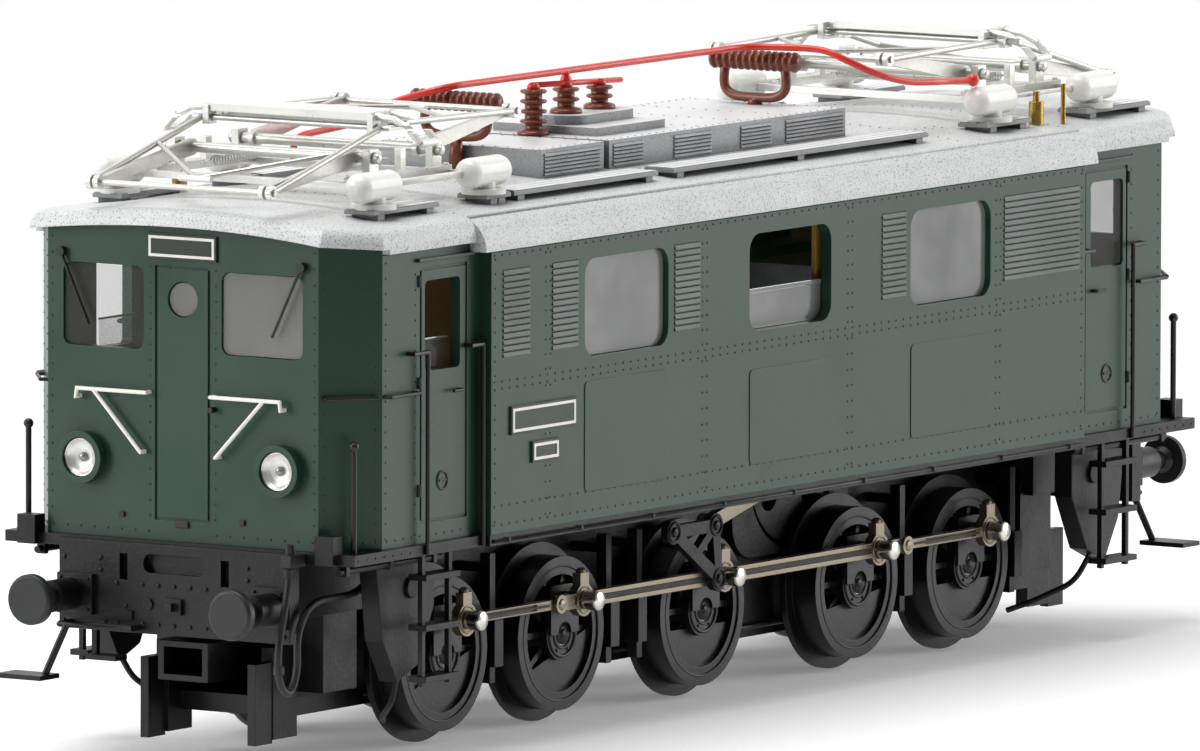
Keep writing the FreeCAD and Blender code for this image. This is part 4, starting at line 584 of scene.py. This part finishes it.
def cab_panes():
    """Clear and painted-sheen panes in the front windows, the round door windows and the cab doors."""
    bm, sheen_panes = bmesh.new(), bmesh.new()
    for end in ENDS:
        for side in SIDES:
            outline = rounded_rectangle(4.0, 11.97, 34.48, 41.29, 0.7)
            pane = sheen_panes if side == end else bm
            set_pane(pane, outline, end_wall(end, side), at(-end, 0, 0), CAB_SINK)
        porthole = [(point.x / MM, 38.8 + point.y / MM) for point in circle(1.4, 32)]
        set_pane(sheen_panes, porthole, end_wall(end), at(-end, 0, 0), CAB_SINK)
    for side in SIDES:
        outline = rounded_rectangle(49.42, 54.53, 32.97, 40.39, 0.6)
        set_pane(bm, outline, side_wall(side, CAB_Y), at(0, -side, 0), CAB_SINK)
        add_box(bm, at(-54.5, side * 15.75, 33.0), at(-49.45, side * 15.9, 35.3))
    make_piece("window_panes_painted_sheen", sheen_panes, "painted_sheen")
    panes = make_piece("cab_window_panes", bm, "clear")
    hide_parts("glazing")


def lowered_pane_bars():
    """Bright top rails on the lowered panes."""
    bm = bmesh.new()
    for side in SIDES:
        add_box(bm, at(-7.0, side * 16.9, 35.3), at(5.8, side * 17.35, 35.75))
        add_box(bm, at(-54.6, side * 15.7, 35.3), at(-49.35, side * 15.95, 35.5))
    make_piece("lowered_pane_rails", bm, "glass", bevel=0.08)


PANELS = ((-32.4, -19.6, 20.9, 30.2), (-7.0, 5.8, 20.9, 29.0), (18.4, 31.1, 20.9, 29.0))


def side_panels():
    """Raised inspection panels below the windows."""
    bm = bmesh.new()
    for side in SIDES:
        place = side_wall(side, ROOM_Y)
        for panel in PANELS:
            add_prism(bm, [place(u, v) for u, v in rounded_rectangle(*panel, 0.5)], at(0, side * 0.07, 0))
    make_piece("side_panels", bm, "green", bevel=0.03)


SIDE_PLATES = ((-43.7, -33.8, 26.7, 29.1), (-40.5, -36.4, 24.1, 25.9))
END_PLATE = (-3.3, 3.3, 42.3, 44.05)
PLATE_THICK = 0.2
BORDER_RISE = 0.03


def plate_borders():
    """White borders on the blank plates."""
    bm = bmesh.new()
    for side in SIDES:
        place = side_wall(side, ROOM_Y + PLATE_THICK)
        for x0, x1, z0, z1 in SIDE_PLATES:
            ends = sorted((side * -x0, side * -x1))
            outer, inner = [rectangle(*ends, z0, z1, inset) for inset in (0.2, 0.45)]
            add_frame(bm, outer, inner, place, at(0, side * BORDER_RISE, 0))
    for end in ENDS:
        outer, inner = [rectangle(*END_PLATE, inset) for inset in (0, 0.24)]
        place = end_wall(end, lift=PLATE_THICK)
        add_frame(bm, outer, inner, place, at(end * BORDER_RISE, 0, 0))
    make_piece("plate_borders", bm, "white_rail")


def door_fittings():
    """Locks, handles and hinges of the cab doors, and small fittings on the end walls."""
    bm = bmesh.new()
    for end in ENDS:
        for side in SIDES:
            lock = at(end * 52.0, side * CAB_Y, 23.6)
            add_torus(bm, lock, (0, side, 0), 0.75, 0.12, 24)
            add_box(bm, lock + at(-0.55, 0, -0.1), lock + at(0.55, side * 0.12, 0.1))
            foot = at(end * 49.6, side * CAB_Y, 31.0)
            knee = foot + at(0, side * 0.5, 0)
            add_round(bm, foot, knee, 0.16, 10)
            add_round(bm, knee, knee + at(end * 1.4, 0, 0), 0.14, 10)
            for height in (22.5, 31.5, 40.0):
                hinge = at(end * 55.5, side * CAB_Y, height)
                add_round(bm, hinge, hinge + at(0, 0, 1.0), 0.2, 10)
        x = end * FRONT_X
        face = x + end * 0.2
        add_box(bm, at(x, -0.65, 19.75), at(face, 0.65, 20.3))
        for side in SIDES:
            add_box(bm, at(x, side * 5.8, 20.3), at(face, side * 6.3, 20.75))
        add_round(bm, at(x, -3.2, 29.8), at(x + end * 0.7, -3.2, 29.8), 0.25, 12)
    make_piece("door_fittings", bm, "rail", bevel=0.03)


LAMP_Y = 9.9
LAMP_Z = 25.1
LAMP_BOWL = ((1.6, 0.0), (1.6, 0.6), (1.48, 0.58), (1.25, 0.36), (0.9, 0.2), (0.5, 0.12))
LAMP_BULB = ((0.4, 0.0), (0.4, 0.12), (0.33, 0.26), (0.18, 0.34))


def lamp_details():
    """A silvered bowl, a bulb and a bright ring for each headlamp."""
    bowls, rings, bulbs = bmesh.new(), bmesh.new(), bmesh.new()
    for end in ENDS:
        for side in SIDES:
            foot = at(end * FRONT_X, side * LAMP_Y, LAMP_Z)
            out = Vector((end, 0, 0))
            add_lathe(bowls, foot, out, LAMP_BOWL)
            add_torus(rings, foot + out * 0.6 * MM, out, 1.56, 0.07, 48)
            add_lathe(bulbs, foot + out * 0.12 * MM, out, LAMP_BULB, 28)
    bowl = make_piece("lamp_bowls", bowls, "lens")
    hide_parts("headlamp_lenses")
    make_piece("lamp_rings", rings, "steel", smooth=True)
    make_piece("lamp_bulbs", bulbs, "bulb", smooth=True)


def eave_details():
    """Rain strips over the cab doors, and painted shadow strips below the eaves."""
    bm, shadow_strips = bmesh.new(), bmesh.new()
    for side in SIDES:
        cab, room = side * CAB_Y, side * ROOM_Y
        for end in ENDS:
            add_box(bm, at(end * 55.9, cab, 42.1), at(end * 47.6, cab + side * 0.35, 42.4))
            # a painted shadow strip where the wall meets the eave
            add_box(shadow_strips, at(end * 47.3, cab, 43.05), at(end * 60.8, cab + side * 0.04, 43.2))
        add_box(shadow_strips, at(-46.4, room, 42.2), at(46.4, room + side * 0.04, 42.36))
    make_piece("eave_painted_shadows", shadow_strips, "dark")
    make_piece("door_rain_strips", bm, "green", bevel=0.05)


# ---------------- roof details

ARCH_TOP = 46.35
ARCH_RADIUS = 120


def on_roof(x, y):
    """A point on the arched roof."""
    return at(x, y, ARCH_TOP - ARCH_RADIUS + math.sqrt(ARCH_RADIUS ** 2 - y ** 2))


def roof_details():
    """Rain gutters and rivet lines on the roof."""
    rivets, gutters = bmesh.new(), bmesh.new()
    for side in SIDES:
        y = side * 16.75
        add_round(gutters, at(-47.6, y, 45.15), at(47.6, y, 45.15), 0.2, 10)
        for y in (side * 9.4, side * 10.2):
            rivet_row(rivets, on_roof(-36, y), on_roof(36, y), 1.5, (0, 0, 1))
    for x in (-47.2, -32.0, 31.0, 47.2):
        for y in range(-15, 16):
            add_dome(rivets, on_roof(x, y), (0, 0, 1), RIVET, RIVET_RISE)
    make_piece("roof_gutters", gutters, "roof", smooth=True)
    make_piece("roof_rivets", rivets, "roof", smooth=True)


VENT_SLATS = ((-23.2, -14.6), (-12.6, -8.0), (-3.2, 2.6), (7.2, 12.0), (14.3, 23.4))
VENT_ROWS = ((-23.2, -14.4), (-12.8, 23.4))
VENT_COLUMNS = (-23.2, -14.5, -12.8, 2.0, 8.6, 15.2, 23.3)


def vent_box_details():
    """Louvres and rivets on the roof's equipment box."""
    slats, rivets = bmesh.new(), bmesh.new()
    for side in SIDES:
        for start, end in VENT_SLATS:
            for number in range(6):
                add_slat(slats, start, end, side * 8.1, 46.3 + number * 0.32, 0.28, side, 0.16)
        y = side * 7.6
        for start, end in VENT_ROWS:
            rivet_row(rivets, at(start, y, VENT_TOP), at(end, y, VENT_TOP), 1.1, (0, 0, 1))
    for x in VENT_COLUMNS:
        rivet_row(rivets, at(x, -7.0, VENT_TOP), at(x, 7.0, VENT_TOP), 1.3, (0, 0, 1))
    make_piece("vent_louvres", slats, "vent")
    make_piece("vent_rivets", rivets, "vent", smooth=True)


BOARDS = ((-57.9, -48.2), (-41.0, -37.4), (-36.9, -14.9), (-12.5, 27.5), (37.0, 44.2), (53.2, 63.6))
PLANK_Y = 11.28
PLANK_PITCH = 0.98
PLANK_WIDTH = 0.86
BOARD_END = 0.08


def walkway_planks():
    """Three planks side by side on each roof board."""
    bm = bmesh.new()
    for side in SIDES:
        for start, end in BOARDS:
            for plank in range(3):
                y = PLANK_Y + plank * PLANK_PITCH
                low = at(start + BOARD_END, side * y, 46.33)
                add_box(bm, low, at(end - BOARD_END, side * (y + PLANK_WIDTH), 46.45))
    make_piece("walkway_planks", bm, "board", bevel=0.04)


# ---------------- underframe and running gear details

SAND_BOX = ((58.6, 17.4), (49.9, 17.4), (49.9, 12.8), (52.4, 8.0), (55.4, 6.8), (57.6, 10.4))
SAND_PIPE = ((54.2, 14.0, 7.2), (53.4, 13.0, 4.9), (50.6, 10.2, 3.2), (48.7, 9.0, 2.6))


def sand_boxes():
    """Tapered sand boxes with filler lids behind the cab ladders, and their pipes to the rails."""
    bm = bmesh.new()
    for end in ENDS:
        for side in SIDES:
            add_prism(bm, [at(end * x, side * 13.1, z) for x, z in SAND_BOX], at(0, side * 1.8, 0))
            lid = at(end * 53.4, side * 14.9, 14.6)
            add_round(bm, lid, lid + at(0, side * 0.3, 0), 0.9, 20)
            pipe = [at(end * x, side * y, z) for x, y, z in SAND_PIPE]
            add_tube(bm, rounded_route(pipe, 1.2), 0.26, 12)
    make_piece("sand_boxes", bm, "black", bevel=0.12)


BEAM_ROW = (-5.8, -3.2, -1.6, 0, 1.6, 3.2, 5.8)
BEAM_RIVETS = ((7.4, 16.9), (7.4, 15.9), (7.0, 11.6), (11.1, 16.8), (11.1, 11.4), (4.9, 13.0))
BUFFER_BOLTS = ((8.4, 12.5), (8.4, 15.1), (11.1, 12.5), (11.1, 15.1))


def beam_details():
    """Rivets, buffer bolts, square plates and the hook's block on each buffer beam."""
    bm = bmesh.new()
    for end in ENDS:
        x = end * BEAM_X
        normal = (end, 0, 0)
        for y in BEAM_ROW:
            for z in (11.6, 14.9):
                add_dome(bm, at(x, y, z), normal, 0.24, 0.18, 10)
        for side in SIDES:
            for y, z in BEAM_RIVETS:
                add_dome(bm, at(x, side * y, z), normal, 0.24, 0.18, 10)
            for y, z in BUFFER_BOLTS:
                add_dome(bm, at(x + end * 0.5, side * y, z), normal, 0.18, 0.2, 6)
            add_box(bm, at(x, side * 4.1, 11.9), at(x + end * 0.25, side * 4.9, 12.6))
        add_box(bm, at(x, -0.9, 12.6), at(x + end * 0.35, 0.9, 13.9))
        add_box(bm, at(x, -0.35, 12.9), at(x + end * 1.0, 0.35, 13.6))
        add_round(bm, at(x, 2.6, 13.3), at(x + end * 0.2, 2.6, 13.3), 0.5, 20)
    make_piece("buffer_beam_fittings", bm, "black", bevel=0.03)


DECK_EDGE_Y, DECK_EDGE_Z = 17.6, 18.05
DECK_PIPE_Y, DECK_PIPE_Z = 15.2, 16.9
PIPE_BRACKETS = (50.5, 57.0, 63.5)


def deck_details():
    """Rivets along the edge of the deck, and a pipe in brackets under it."""
    bm = bmesh.new()
    for side in SIDES:
        edge, pipe = side * DECK_EDGE_Y, side * DECK_PIPE_Y
        for end in ENDS:
            foot, tip = at(end * 57.5, edge, DECK_EDGE_Z), at(end * 65.2, edge, DECK_EDGE_Z)
            rivet_row(bm, foot, tip, 1.2, (0, side, 0))
            add_round(bm, at(end * 49.5, pipe, DECK_PIPE_Z), at(end * 64.6, pipe, DECK_PIPE_Z), 0.3, 12)
            for x in PIPE_BRACKETS:
                add_box(bm, at(end * x, pipe - 0.4, 16.5), at(end * (x + 0.5), pipe + 0.4, 17.6))
    make_piece("deck_pipes", bm, "black")


PULL_RODS = ((-48.0, -10.6), (-10.2, 31.0), (31.4, 49.0))
PULL_ROD_Y, PULL_ROD_Z = 6.55, 4.6
SILL_PIPE_Y, SILL_PIPE_Z = 18.3, 17.95


def brake_details():
    """Pull rods between the brake hangers, and a pipe with clips below the body's edge."""
    bm = bmesh.new()
    for side in SIDES:
        y = side * PULL_ROD_Y
        for start, end in PULL_RODS:
            add_round(bm, at(start, y, PULL_ROD_Z), at(end, y, PULL_ROD_Z), 0.25, 12)
        y, z = side * SILL_PIPE_Y, SILL_PIPE_Z
        add_round(bm, at(-46.0, y, z), at(46.0, y, z), 0.16, 12)
        for x in range(-44, 45, 11):
            add_round(bm, at(x, y - side * 0.4, z), at(x, y + side * 0.22, z), 0.24, 10)
    make_piece("brake_pull_rods", bm, "black", smooth=True)


HUB_FACE = 10.3
HUB_BOLTS = 1.6           # radius of the bolt circle
HUB_RINGS = ((1.95, 0.16, 36), (1.25, 0.12, 32))
TYRE_RING = 5.72
PIN_END = 14.0            # outer ends of the crank pins
PIN_CAP = ((0.82, 0.0), (0.82, 0.1), (0.74, 0.17))


def crank_move(turn):
    """How far a crank pin stands from its axle's middle, for a crank turned by so many degrees."""
    turn = math.radians(turn)
    return at(CRANK * math.sin(turn), 0, CRANK * math.cos(turn))


def wheel_details(number, x):
    """Rings, hub bolts and an axle end on both wheels of a set, and caps on its crank pins."""
    rings, caps = bmesh.new(), bmesh.new()
    for _, side, crank in HANDS:
        hub = at(x, side * HUB_FACE, AXLE_Z)
        for ring in HUB_RINGS:
            add_torus(rings, hub, (0, 1, 0), *ring)
        for step in range(6):
            angle = math.tau * step / 6
            bolt = hub + at(HUB_BOLTS * math.cos(angle), 0, HUB_BOLTS * math.sin(angle))
            add_dome(rings, bolt, (0, side, 0), 0.16, 0.12, 8)
        add_torus(rings, at(x, side * 10.15, AXLE_Z), (0, 1, 0), TYRE_RING, 0.1, 72)
        add_round(rings, at(x, side * 10.2, AXLE_Z), at(x, side * 10.42, AXLE_Z), 0.95, 32)
        add_round(rings, at(x, side * 10.42, AXLE_Z), at(x, side * 10.5, AXLE_Z), 0.4, 20)
        add_lathe(caps, at(x, side * PIN_END, AXLE_Z) + crank_move(crank), (0, side, 0), PIN_CAP, 28)
    body = f"wheelset_{number}"
    make_piece(f"wheel_rings_{number}", rings, "wheel", body, smooth=True)
    make_piece(f"crank_pin_caps_{number}", caps, "steel", body, smooth=True)


OIL_CUP = ((0.42, 0.0), (0.46, 0.12), (0.36, 0.3), (0.2, 0.42))
KNUCKLES = (-27.6, 26.6)
FLUTES = ((-39.6, -29.0, 0.12), (-21.8, -3.6, 0.22), (0.1, 20.8, 0.22), (28.0, 38.6, 0.12))
ROD_FACE = 12.6


def rod_details(hand, side, crank):
    """Oil cups, knuckle bolts, bearing rings and painted shadow in the fluting on the rods of one side."""
    bm, flute_shadows = bmesh.new(), bmesh.new()
    move = at(0, 0, AXLE_Z) + crank_move(crank)
    face = side * ROD_FACE
    for x in WHEEL_X:
        add_torus(bm, at(x, face, 0) + move, (0, 1, 0), 1.1, 0.1, 32)
        add_lathe(bm, at(x, side * 12.2, 2.3) + move, (0, 0, 1), OIL_CUP, 20)
    for x in KNUCKLES:
        add_dome(bm, at(x, side * 12.95, 0) + move, (0, side, 0), 0.5, 0.16, 20)
    # painted shadow: a dark strip where each rod's groove would lie in shade
    for start, end, half in FLUTES:
        outline = rounded_rectangle(start, end, -half, half, half * 0.9)
        add_prism(flute_shadows, [at(u, face, v) + move for u, v in outline], at(0, side * 0.03, 0))
    body = f"rods_{hand}"
    make_piece(f"rod_flute_shadows_{hand}", flute_shadows, "flute", body)
    make_piece(f"rod_fittings_{hand}", bm, "nickel", body)


TRIANGLE = ((-9.1, 4.6), (-2.6, 4.6), (-2.1, 0))    # its corners, from the middle crank pin
TRIANGLE_FACE = 13.3


def drive_frame_details(hand, side, crank):
    """A ring and a bolt at each corner of one triangular frame."""
    bm = bmesh.new()
    pin = at(WHEEL_X[2], side * TRIANGLE_FACE, AXLE_Z) + crank_move(crank)
    for x, z in TRIANGLE:
        add_torus(bm, pin + at(x, 0, z), (0, 1, 0), 0.8, 0.14, 28)
        add_dome(bm, pin + at(x, 0, z), (0, side, 0), 0.5, 0.25, 6)
    make_piece(f"drive_frame_bolts_{hand}", bm, "casting", f"rods_{hand}")


def buffer_details(word, end, hand, side):
    """A collar behind the head of one buffer."""
    bm = bmesh.new()
    neck = at(end * 72.4, side * BUFFER_Y, BUFFER_Z)
    add_round(bm, neck, neck - at(end * 0.5, 0, 0), 1.2, 24, 0.8)
    make_piece(f"buffer_collar_{word}_{hand}", bm, "buffer", f"buffer_{word}_{hand}")


HOSE = ((67.5, 17.5), (67.5, 15.9), (69.2, 10.4), (68.9, 7.7), (67.4, 6.6), (66.2, 8.5), (66.3, 11.8),
        (64.3, 14.2), (57.3, 14.3), (55.2, 15.7), (55.2, 17.6))
HOSE_Y = 12.2


def hose_curves():
    """Smooth air hoses with their valves, in place of the angular ones."""
    bm = bmesh.new()
    for end in ENDS:
        y = end * HOSE_Y
        add_tube(bm, rounded_route([at(end * x, y, z) for x, z in HOSE], 2.2), 0.32, 14)
        add_box(bm, at(end * 65.8, y - 0.5, 17.4), at(end * 68.0, y + 0.5, 18.4))
        add_round(bm, at(end * 67.4, y, 18.3), at(end * 67.4, y, 19.3), 0.35, 16)
        for x, z in ((67.5, 16.6), (68.97, 8.6)):
            add_round(bm, at(end * x, y, z), at(end * x, y, z + 0.7), 0.46, 16)
    hose = make_piece("air_hoses", bm, "rubber")
    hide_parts("brake_hoses")


# ---------------- pantographs and high-voltage gear

SPRING_TURNS = 16
SPRING_STEPS = 10         # points in each turn
SPRING_RADIUS = 0.42
SHOE_X = 47.85
SHOE_STRIPS = (-1.45, -0.5, 0.5, 1.45)
LINK_Y, LINK_Z = 12.65, 48.2


def spring_points(start, finish):
    """The line of a coil spring with straight ends between two points."""
    points = [start]
    count = SPRING_TURNS * SPRING_STEPS
    for number in range(count + 1):
        angle = math.tau * number / SPRING_STEPS
        middle = start.lerp(finish, 0.15 + 0.7 * number / count)
        points.append(middle + at(0, SPRING_RADIUS * math.cos(angle), SPRING_RADIUS * math.sin(angle)))
    return points + [finish]


def pantograph_details(word, end):
    """Springs and bolts on one pantograph's base, and strips on its shoe."""
    bm, strips = bmesh.new(), bmesh.new()
    for side in SIDES:
        y = side * 6.0
        add_tube(bm, spring_points(at(end * 53.2, y, 49.0), at(end * 43.4, y, 49.3)), 0.09)
        for x in (51.9, 42.5):
            add_dome(bm, at(end * x, side * 10.6, 50.1), (0, side, 0), 0.5, 0.2, 12)
        for x in (55.0, 40.6):
            add_dome(bm, at(end * x, side * 9.8, 48.7), (0, 0, 1), 0.3, 0.2, 6)
    make_piece(f"{word}_pantograph_springs", bm, "panto", smooth=True)
    for offset in SHOE_STRIPS:
        x = end * SHOE_X + offset
        add_box(strips, at(x - 0.28, -8.3, 53.62), at(x + 0.28, 8.3, 53.72))
    make_piece(f"{word}_shoe_strips", strips, "strip", f"{word}_shoe", bevel=0.03)


def insulator_links():
    """White rods that join the two insulators of each pantograph side."""
    bm = bmesh.new()
    for side in SIDES:
        for end in ENDS:
            start = at(end * 42.75, side * LINK_Y, LINK_Z)
            finish = at(end * 52.85, side * LINK_Y, LINK_Z)
            add_round(bm, start, finish, 0.2 if side == -end else 0.3, 16)
            add_round(bm, start, start.lerp(finish, 0.06), 0.34, 16, 0.2)
            add_round(bm, finish, finish.lerp(start, 0.06), 0.34, 16, 0.2)
    make_piece("insulator_link_rods", bm, "white", smooth=True)


BUSBAR = ((-40.6, 5.6, 48.3), (-40.6, 5.6, 50.2), (-30.4, 6.3, 50.5), (-27.4, 5.2, 52.0),
          (-25.9, 0.0, 53.6), (20.6, 0.0, 53.6), (22.6, -6.4, 53.6), (23.0, -8.3, 52.8),
          (25.4, -10.4, 51.3), (29.0, -11.4, 50.4), (37.0, -12.6, 50.1))
BUSBAR_KNOB = (37.2, -12.6, 50.1)
BUSBAR_PLUG = ((0.5, 0.0), (0.5, 0.5), (0.36, 0.8), (0.3, 1.2))
POST_CAP = ((0.55, 0.0), (0.55, 0.3), (0.35, 0.55))
POSTS = ((-12.6, 48.5, 52.4, 5), (-7.6, 50.0, 52.2, 3), (-2.4, 50.0, 52.0, 3))
UP = (0, 0, 1)


def busbar_curves():
    """The red high-voltage bar with soft bends, its end knob and the short bar with the post caps."""
    bm = bmesh.new()
    add_tube(bm, rounded_route([at(*point) for point in BUSBAR], 2.4), 0.3, 14)
    bmesh.ops.create_uvsphere(bm, u_segments=20, v_segments=12, radius=0.55 * MM,
                              matrix=Matrix.Translation(at(*BUSBAR_KNOB)))
    add_round(bm, at(-12.9, 0, 52.75), at(0.9, 0, 52.2), 0.25, 14)
    add_lathe(bm, at(-7.6, 0, 52.4), UP, BUSBAR_PLUG, 20)
    for x, _, high, _ in POSTS:
        add_lathe(bm, at(x, 0, high), UP, POST_CAP, 20)
    bar = make_piece("red_busbar", bm, "red", smooth=True)
    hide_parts("busbar")


def ribbed(core, rib, starts, thick, length):
    """The profile of a ribbed insulator with rounded ribs."""
    profile = [(core, 0.0)]
    for start in starts:
        profile += [(core, start), (rib * 0.9, start + thick * 0.05), (rib, start + thick * 0.35),
                    (rib, start + thick * 0.65), (rib * 0.9, start + thick * 0.95), (core, start + thick)]
    return profile + [(core, length)]


POST_FOOT = ((1.35, 0.0), (1.4, 0.2), (1.25, 0.4))
COILS = ((-24.4, 46.3, 49.3), (22.0, 48.4, 49.1))
COIL_Z = 52.3


def brown_insulator_shapes():
    """Ribbed posts and coils with rounded ribs on softly bent feet."""
    bm = bmesh.new()
    for x, low, high, ribs in POSTS:
        starts = [0.15 + number * (high - low - 0.5) / (ribs - 1) for number in range(ribs)]
        add_lathe(bm, at(x, 0, low), UP, ribbed(0.75, 1.15, starts, 0.34, high - low), 28)
        add_lathe(bm, at(x, 0, low), UP, POST_FOOT, 28)
    for x, foot, low in COILS:
        starts = [0.1 + number * 0.68 for number in range(13)]
        add_lathe(bm, at(x, -4.4, COIL_Z), (0, 1, 0), ribbed(0.62, 0.88, starts, 0.46, 8.8), 28)
        half = ((3.0, COIL_Z), (3.3, low + 0.8), (2.2, low))
        loop = [at(x, -y, z) for y, z in half] + [at(x, y, z) for y, z in reversed(half)]
        add_tube(bm, rounded_route(loop, 1.3), 0.42, 14)
        add_round(bm, at(x, 0, foot), at(x, 0, low), 0.7, 20, 0.5)
    shapes = make_piece("brown_porcelain", bm, "brown", smooth=True)
    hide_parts("brown_insulators")


# ---------------- stage, light and camera

def make_stage():
    """A pale floor under the model that fades into the white backdrop."""
    bm = bmesh.new()
    bmesh.ops.create_circle(bm, cap_ends=True, segments=96, radius=0.9)
    mesh = bpy.data.meshes.new("floor")
    bm.to_mesh(mesh)
    bm.free()
    floor = bpy.data.objects.new("floor", mesh)
    bpy.context.scene.collection.objects.link(floor)
    n = Nodes("pale_floor")
    n.link(n.ramp(n.noise(0.3), (0.3, grey(0.90)), (0.7, grey(0.94))), n.shader.inputs["Base Color"])
    for socket, value in (("Roughness", 0.9), ("Specular IOR Level", 0.1), ("Emission Strength", 0.18)):
        n.shader.inputs[socket].default_value = value
    n.shader.inputs["Emission Color"].default_value = grey(1)
    distance = n.add("ShaderNodeVectorMath", operation="LENGTH")
    n.link(n.place, distance.inputs[0])
    n.see_through(n.ramp(distance.outputs["Value"], (0.12, grey(0)), (0.34, grey(1))))
    mesh.materials.append(n.material)


AWAY_FROM_CAMERA = (0.83, 0.55, 0.0)
SURROUNDINGS = ((0.14, 0.03), (0.31, 0.28), (0.69, 0.42), (0.86, 1.0))


def make_world():
    """White as seen by the camera and behind the model, and dimmer in front of it."""
    world = bpy.data.worlds.new("studio")
    bpy.context.scene.world = world
    world.use_nodes = True
    tree = world.node_tree
    lighting = tree.nodes["Background"]
    kinds = ("TexCoord", "VectorMath", "Math", "ValToRGB", "Background", "LightPath", "MixShader")
    made = [tree.nodes.new("ShaderNode" + kind) for kind in kinds]
    direction, along, share, ramp, backdrop, seen, choice = made
    along.operation = "DOT_PRODUCT"
    along.inputs[1].default_value = AWAY_FROM_CAMERA
    share.operation = "MULTIPLY_ADD"
    share.inputs[1].default_value = 0.5
    share.inputs[2].default_value = 0.5
    stops = ramp.color_ramp.elements
    while len(stops) < len(SURROUNDINGS):
        stops.new(0.5)
    for stop, (position, level) in zip(stops, SURROUNDINGS):
        stop.position = position
        stop.color = grey(level)
    backdrop.inputs["Color"].default_value = grey(1.0)
    for source, target in ((direction.outputs["Generated"], along.inputs[0]),
                           (along.outputs["Value"], share.inputs[0]),
                           (share.outputs["Value"], ramp.inputs["Fac"]),
                           (ramp.outputs["Color"], lighting.inputs["Color"]),
                           (seen.outputs["Is Camera Ray"], choice.inputs[0]),
                           (lighting.outputs["Background"], choice.inputs[1]),
                           (backdrop.outputs["Background"], choice.inputs[2]),
                           (choice.outputs["Shader"], tree.nodes["World Output"].inputs["Surface"])):
        tree.links.new(source, target)


LIGHT_AIM = (0, 0, 0.03)


def soft_light(name, place, size, power):
    """A large area light aimed at the model; its place and size are in metres."""
    data = bpy.data.lights.new(name, "AREA")
    data.shape = "RECTANGLE"
    data.size, data.size_y = size
    data.energy = power
    obj = bpy.data.objects.new(name, data)
    bpy.context.scene.collection.objects.link(obj)
    obj.location = place
    aim = Vector(LIGHT_AIM) - Vector(place)
    obj.rotation_mode = "QUATERNION"
    obj.rotation_quaternion = aim.to_track_quat("-Z", "Y")


AZIMUTH, ELEVATION, ROLL = math.radians(-56.638), math.radians(5.978), math.radians(0.143)
CAMERA_DISTANCE = 1.91584
CAMERA_AIM = (-2.210, 0, 27.045)
LENS = 672.65


def make_camera():
    """The photograph's viewpoint: direction, roll, distance and lens."""
    level = math.cos(ELEVATION)
    back = Vector((math.sin(AZIMUTH) * level, -math.cos(AZIMUTH) * level, math.sin(ELEVATION)))
    data = bpy.data.cameras.new("camera")
    data.sensor_width = 36.0
    data.lens = LENS
    data.clip_start, data.clip_end = 0.05, 50.0
    camera = bpy.data.objects.new("camera", data)
    bpy.context.scene.collection.objects.link(camera)
    camera.rotation_mode = "QUATERNION"
    camera.location = at(*CAMERA_AIM) + back * CAMERA_DISTANCE
    camera.rotation_quaternion = (-back).to_track_quat("-Z", "Y") @ Quaternion((0, 0, 1), ROLL)
    bpy.context.scene.camera = camera


# ---------------- build

dress_cad_nodes()
side_rivets()
front_rivets()
louvres()
side_panes()
cab_panes()
lowered_pane_bars()
side_panels()
plate_borders()
door_fittings()
lamp_details()
eave_details()
roof_details()
vent_box_details()
walkway_planks()
beam_details()
sand_boxes()
deck_details()
brake_details()
insulator_links()
hose_curves()
busbar_curves()
brown_insulator_shapes()
for count, wheel_x in enumerate(WHEEL_X, 1):
    wheel_details(count, wheel_x)
for hand_word, hand_side, hand_crank in HANDS:
    rod_details(hand_word, hand_side, hand_crank)
    drive_frame_details(hand_word, hand_side, hand_crank)
for end_word, end_sign in (("front", -1), ("rear", 1)):
    pantograph_details(end_word, end_sign)
    for hand_word, hand_side, _ in HANDS:
        buffer_details(end_word, end_sign, hand_word, hand_side)
make_stage()
make_world()
soft_light("key_left", (-0.6, 0.6, 0.28), (0.5, 0.5), 4.4)
soft_light("fill_right", (0.62, -0.48, 0.22), (0.6, 0.5), 2.6)
soft_light("top", (-0.15, 0.1, 0.8), (0.7, 0.5), 5.2)
make_camera()
bpy.context.scene.view_settings.view_transform = "Standard"
